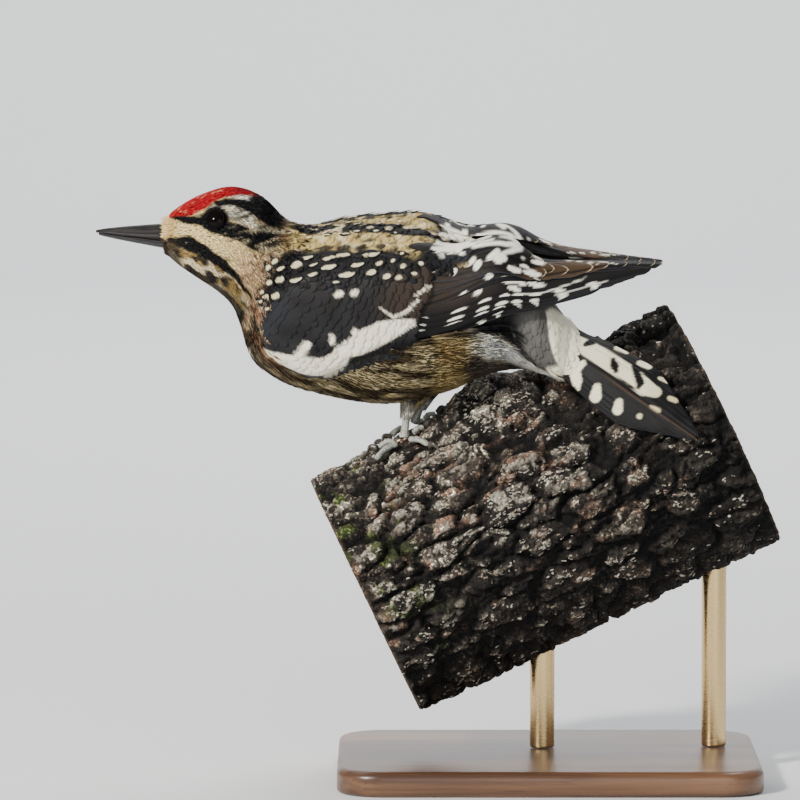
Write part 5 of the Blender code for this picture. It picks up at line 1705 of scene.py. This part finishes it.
# ---------------------------------------------------------------- stand
def make_stand():
    """A plain walnut base with rounded corners, and two brass rods."""
    walnut, n, shader = new_material("walnut_oiled", Roughness=0.36, Coat_Weight=0.25, Coat_Roughness=0.25)
    place = object_coords(n)
    rings = n.noise(n.stretch(place, (5.0, 55.0, 160.0)), 1.0, 5.0, 0.6)
    pores = n.noise(n.stretch(place, (60.0, 1500.0, 1500.0)), 1.0, 3.0, 0.6)
    wood = n.blend(n.span(rings, 0.35, 0.65), (0.060, 0.026, 0.012), (0.19, 0.092, 0.042))
    n.join(n.blend(n.span(pores, 0.58, 0.72, 0.0, 0.6), wood, (0.03, 0.013, 0.007)),
           shader.inputs["Base Color"])
    set_bump(n, shader, pores, 0.25, 0.0002)
    size, radius, bevel = (136.0, 100.0, 8.0), 14.0, 2.5
    outline = []
    for corner, (right, back) in enumerate(((1, 1), (-1, 1), (-1, -1), (1, -1))):
        for a in np.linspace(0, math.pi / 2, 19) + math.pi / 2 * corner:
            outline.append((right * (size[0] / 2 - radius) + radius * math.cos(a),
                            back * (size[1] / 2 - radius) + radius * math.sin(a)))
    outline = np.array(outline)
    levels = [(bevel * 0.4 * t, 0.4 * (1 - t) ** 2) for t in np.linspace(0, 1, 4)]
    for t in np.linspace(0, math.pi / 2, 8):
        levels.append((size[2] - bevel * (1 - math.sin(t)), 1 - math.cos(t)))
    shaped = []
    for z, share in levels:
        shrink = (1 - 2 * bevel * share / size[0], 1 - 2 * bevel * share / size[1])
        shaped.append(np.column_stack((outline * shrink, np.full(len(outline), z))))
    points, faces = lofted(shaped)
    outward(make_piece("stand_board", points, faces, walnut, ("stand_base",), smooth=False))
    brass, n, shader = new_material("brass_brushed", Metallic=1.0)
    lines = n.noise(n.stretch(object_coords(n), (300.0, 300.0, 9000.0)), 1.0, 2.0)
    n.join(n.blend(lines, (0.62, 0.43, 0.19), (0.80, 0.60, 0.31)), shader.inputs["Base Color"])
    n.join(n.span(lines, 0.3, 0.7, 0.2, 0.34), shader.inputs["Roughness"])
    for name, s in (("low", 10.0), ("high", 72.0)):
        under = on_limb(np.array(s), math.pi)
        levels = np.array((8.35, 8.36, 8.6, 9.0, under[2] + 10.0, under[2] + 14.0))
        radii = np.array((3.4, 3.8, 3.97, 4.0, 4.0, 4.0))
        path = np.column_stack((np.full(6, under[0]), np.full(6, under[1]), levels))
        points, faces = swept(path, radii, 48, up=(0.0, 1.0, 0.0))
        outward(make_piece(f"stand_post_{name}", points, faces, brass, (f"stand_rod_{name}",)))


# ---------------------------------------------------------------- stage, lights and camera
def make_stage():
    """A pale floor that curves up into a backdrop behind."""
    plaster, _, _ = new_material("studio_plaster", Base_Color=(0.78, 0.79, 0.80), Roughness=0.95)
    width, level_end, bend, height = 9.0, 2.4, 0.6, 1.6
    profile = [(-width, 0.0), (level_end, 0.0)]
    for t in np.linspace(0.1, math.pi / 2, 14):
        profile.append((level_end + bend * math.sin(t), bend - bend * math.cos(t)))
    profile.append((level_end + bend, height))
    verts = [(x, y, z) for y, z in profile for x in (-width, width)]
    faces = [(2 * k, 2 * k + 1, 2 * k + 3, 2 * k + 2) for k in range(len(profile) - 1)]
    mesh = bpy.data.meshes.new("studio_floor")
    mesh.from_pydata(verts, [], faces)
    mesh.shade_smooth()
    mesh.materials.append(plaster)
    floor = bpy.data.objects.new("studio_floor", mesh)
    bpy.context.scene.collection.objects.link(floor)


def add_light(name, place, aim, size, power, colour=(1, 1, 1)):
    """A round soft light at a place, turned to its aim."""
    light = bpy.data.lights.new(name, "AREA")
    light.shape, light.size, light.energy, light.color = "DISK", size, power, colour
    lamp = bpy.data.objects.new(name, light)
    lamp.location = place
    lamp.rotation_euler = (Vector(aim) - Vector(place)).to_track_quat("-Z", "Y").to_euler()
    bpy.context.scene.collection.objects.link(lamp)


def make_lights_and_camera():
    """Studio lights, a pale world and the display's camera."""
    scene = bpy.context.scene
    aim = (-0.03, 0.0, 0.12)
    add_light("key_light", (-1.05, -1.05, 0.93), aim, 0.22, 43.0, (1.0, 0.96, 0.90))
    add_light("backdrop_light", (0.0, 1.5, 2.0), (0.0, 2.9, 0.1), 1.6, 60.0)
    add_light("fill_light", (0.4, -1.5, 0.25), aim, 1.2, 8.0, (0.94, 0.97, 1.0))
    add_light("top_light", (0.2, 0.6, 1.4), aim, 0.8, 9.0)
    world = bpy.data.worlds.new("studio_air")
    world.use_nodes = True
    world.node_tree.nodes["Background"].inputs["Color"].default_value = (0.79, 0.83, 0.90, 1.0)
    world.node_tree.nodes["Background"].inputs["Strength"].default_value = 0.32
    scene.world = world
    camera = bpy.data.cameras.new("display_camera")
    distance, tilt, picture_width = 2.0, math.radians(5.0), 0.25806
    camera.sensor_width = 36.0
    camera.lens = camera.sensor_width * distance / picture_width
    eye = bpy.data.objects.new("display_camera", camera)
    target = Vector((-0.04787, 0.0, 0.122))
    eye.location = target + Vector((0.0, -math.cos(tilt), math.sin(tilt))) * distance
    eye.rotation_euler = (math.pi / 2 - tilt, 0.0, 0.0)
    scene.collection.objects.link(eye)
    scene.camera = eye


def main():
    """Builds every piece, then the stage, lights and camera."""
    barbs = barb_group()
    plumage_finish = feather_material("plumage_soft", barbs, 0.30, 0.35, 0.62)
    vane_finish = feather_material("plumage_sleek", barbs, 0.22, 0.5, 0.48)
    make_skin(plumage_finish)
    make_eyes()
    make_bill()
    make_body_coat(plumage_finish)
    make_drops(plumage_finish)
    make_covert_coat(vane_finish)
    make_wings(vane_finish)
    make_tail(vane_finish)
    make_legs()
    make_perch()
    make_stand()
    make_stage()
    make_lights_and_camera()


main()
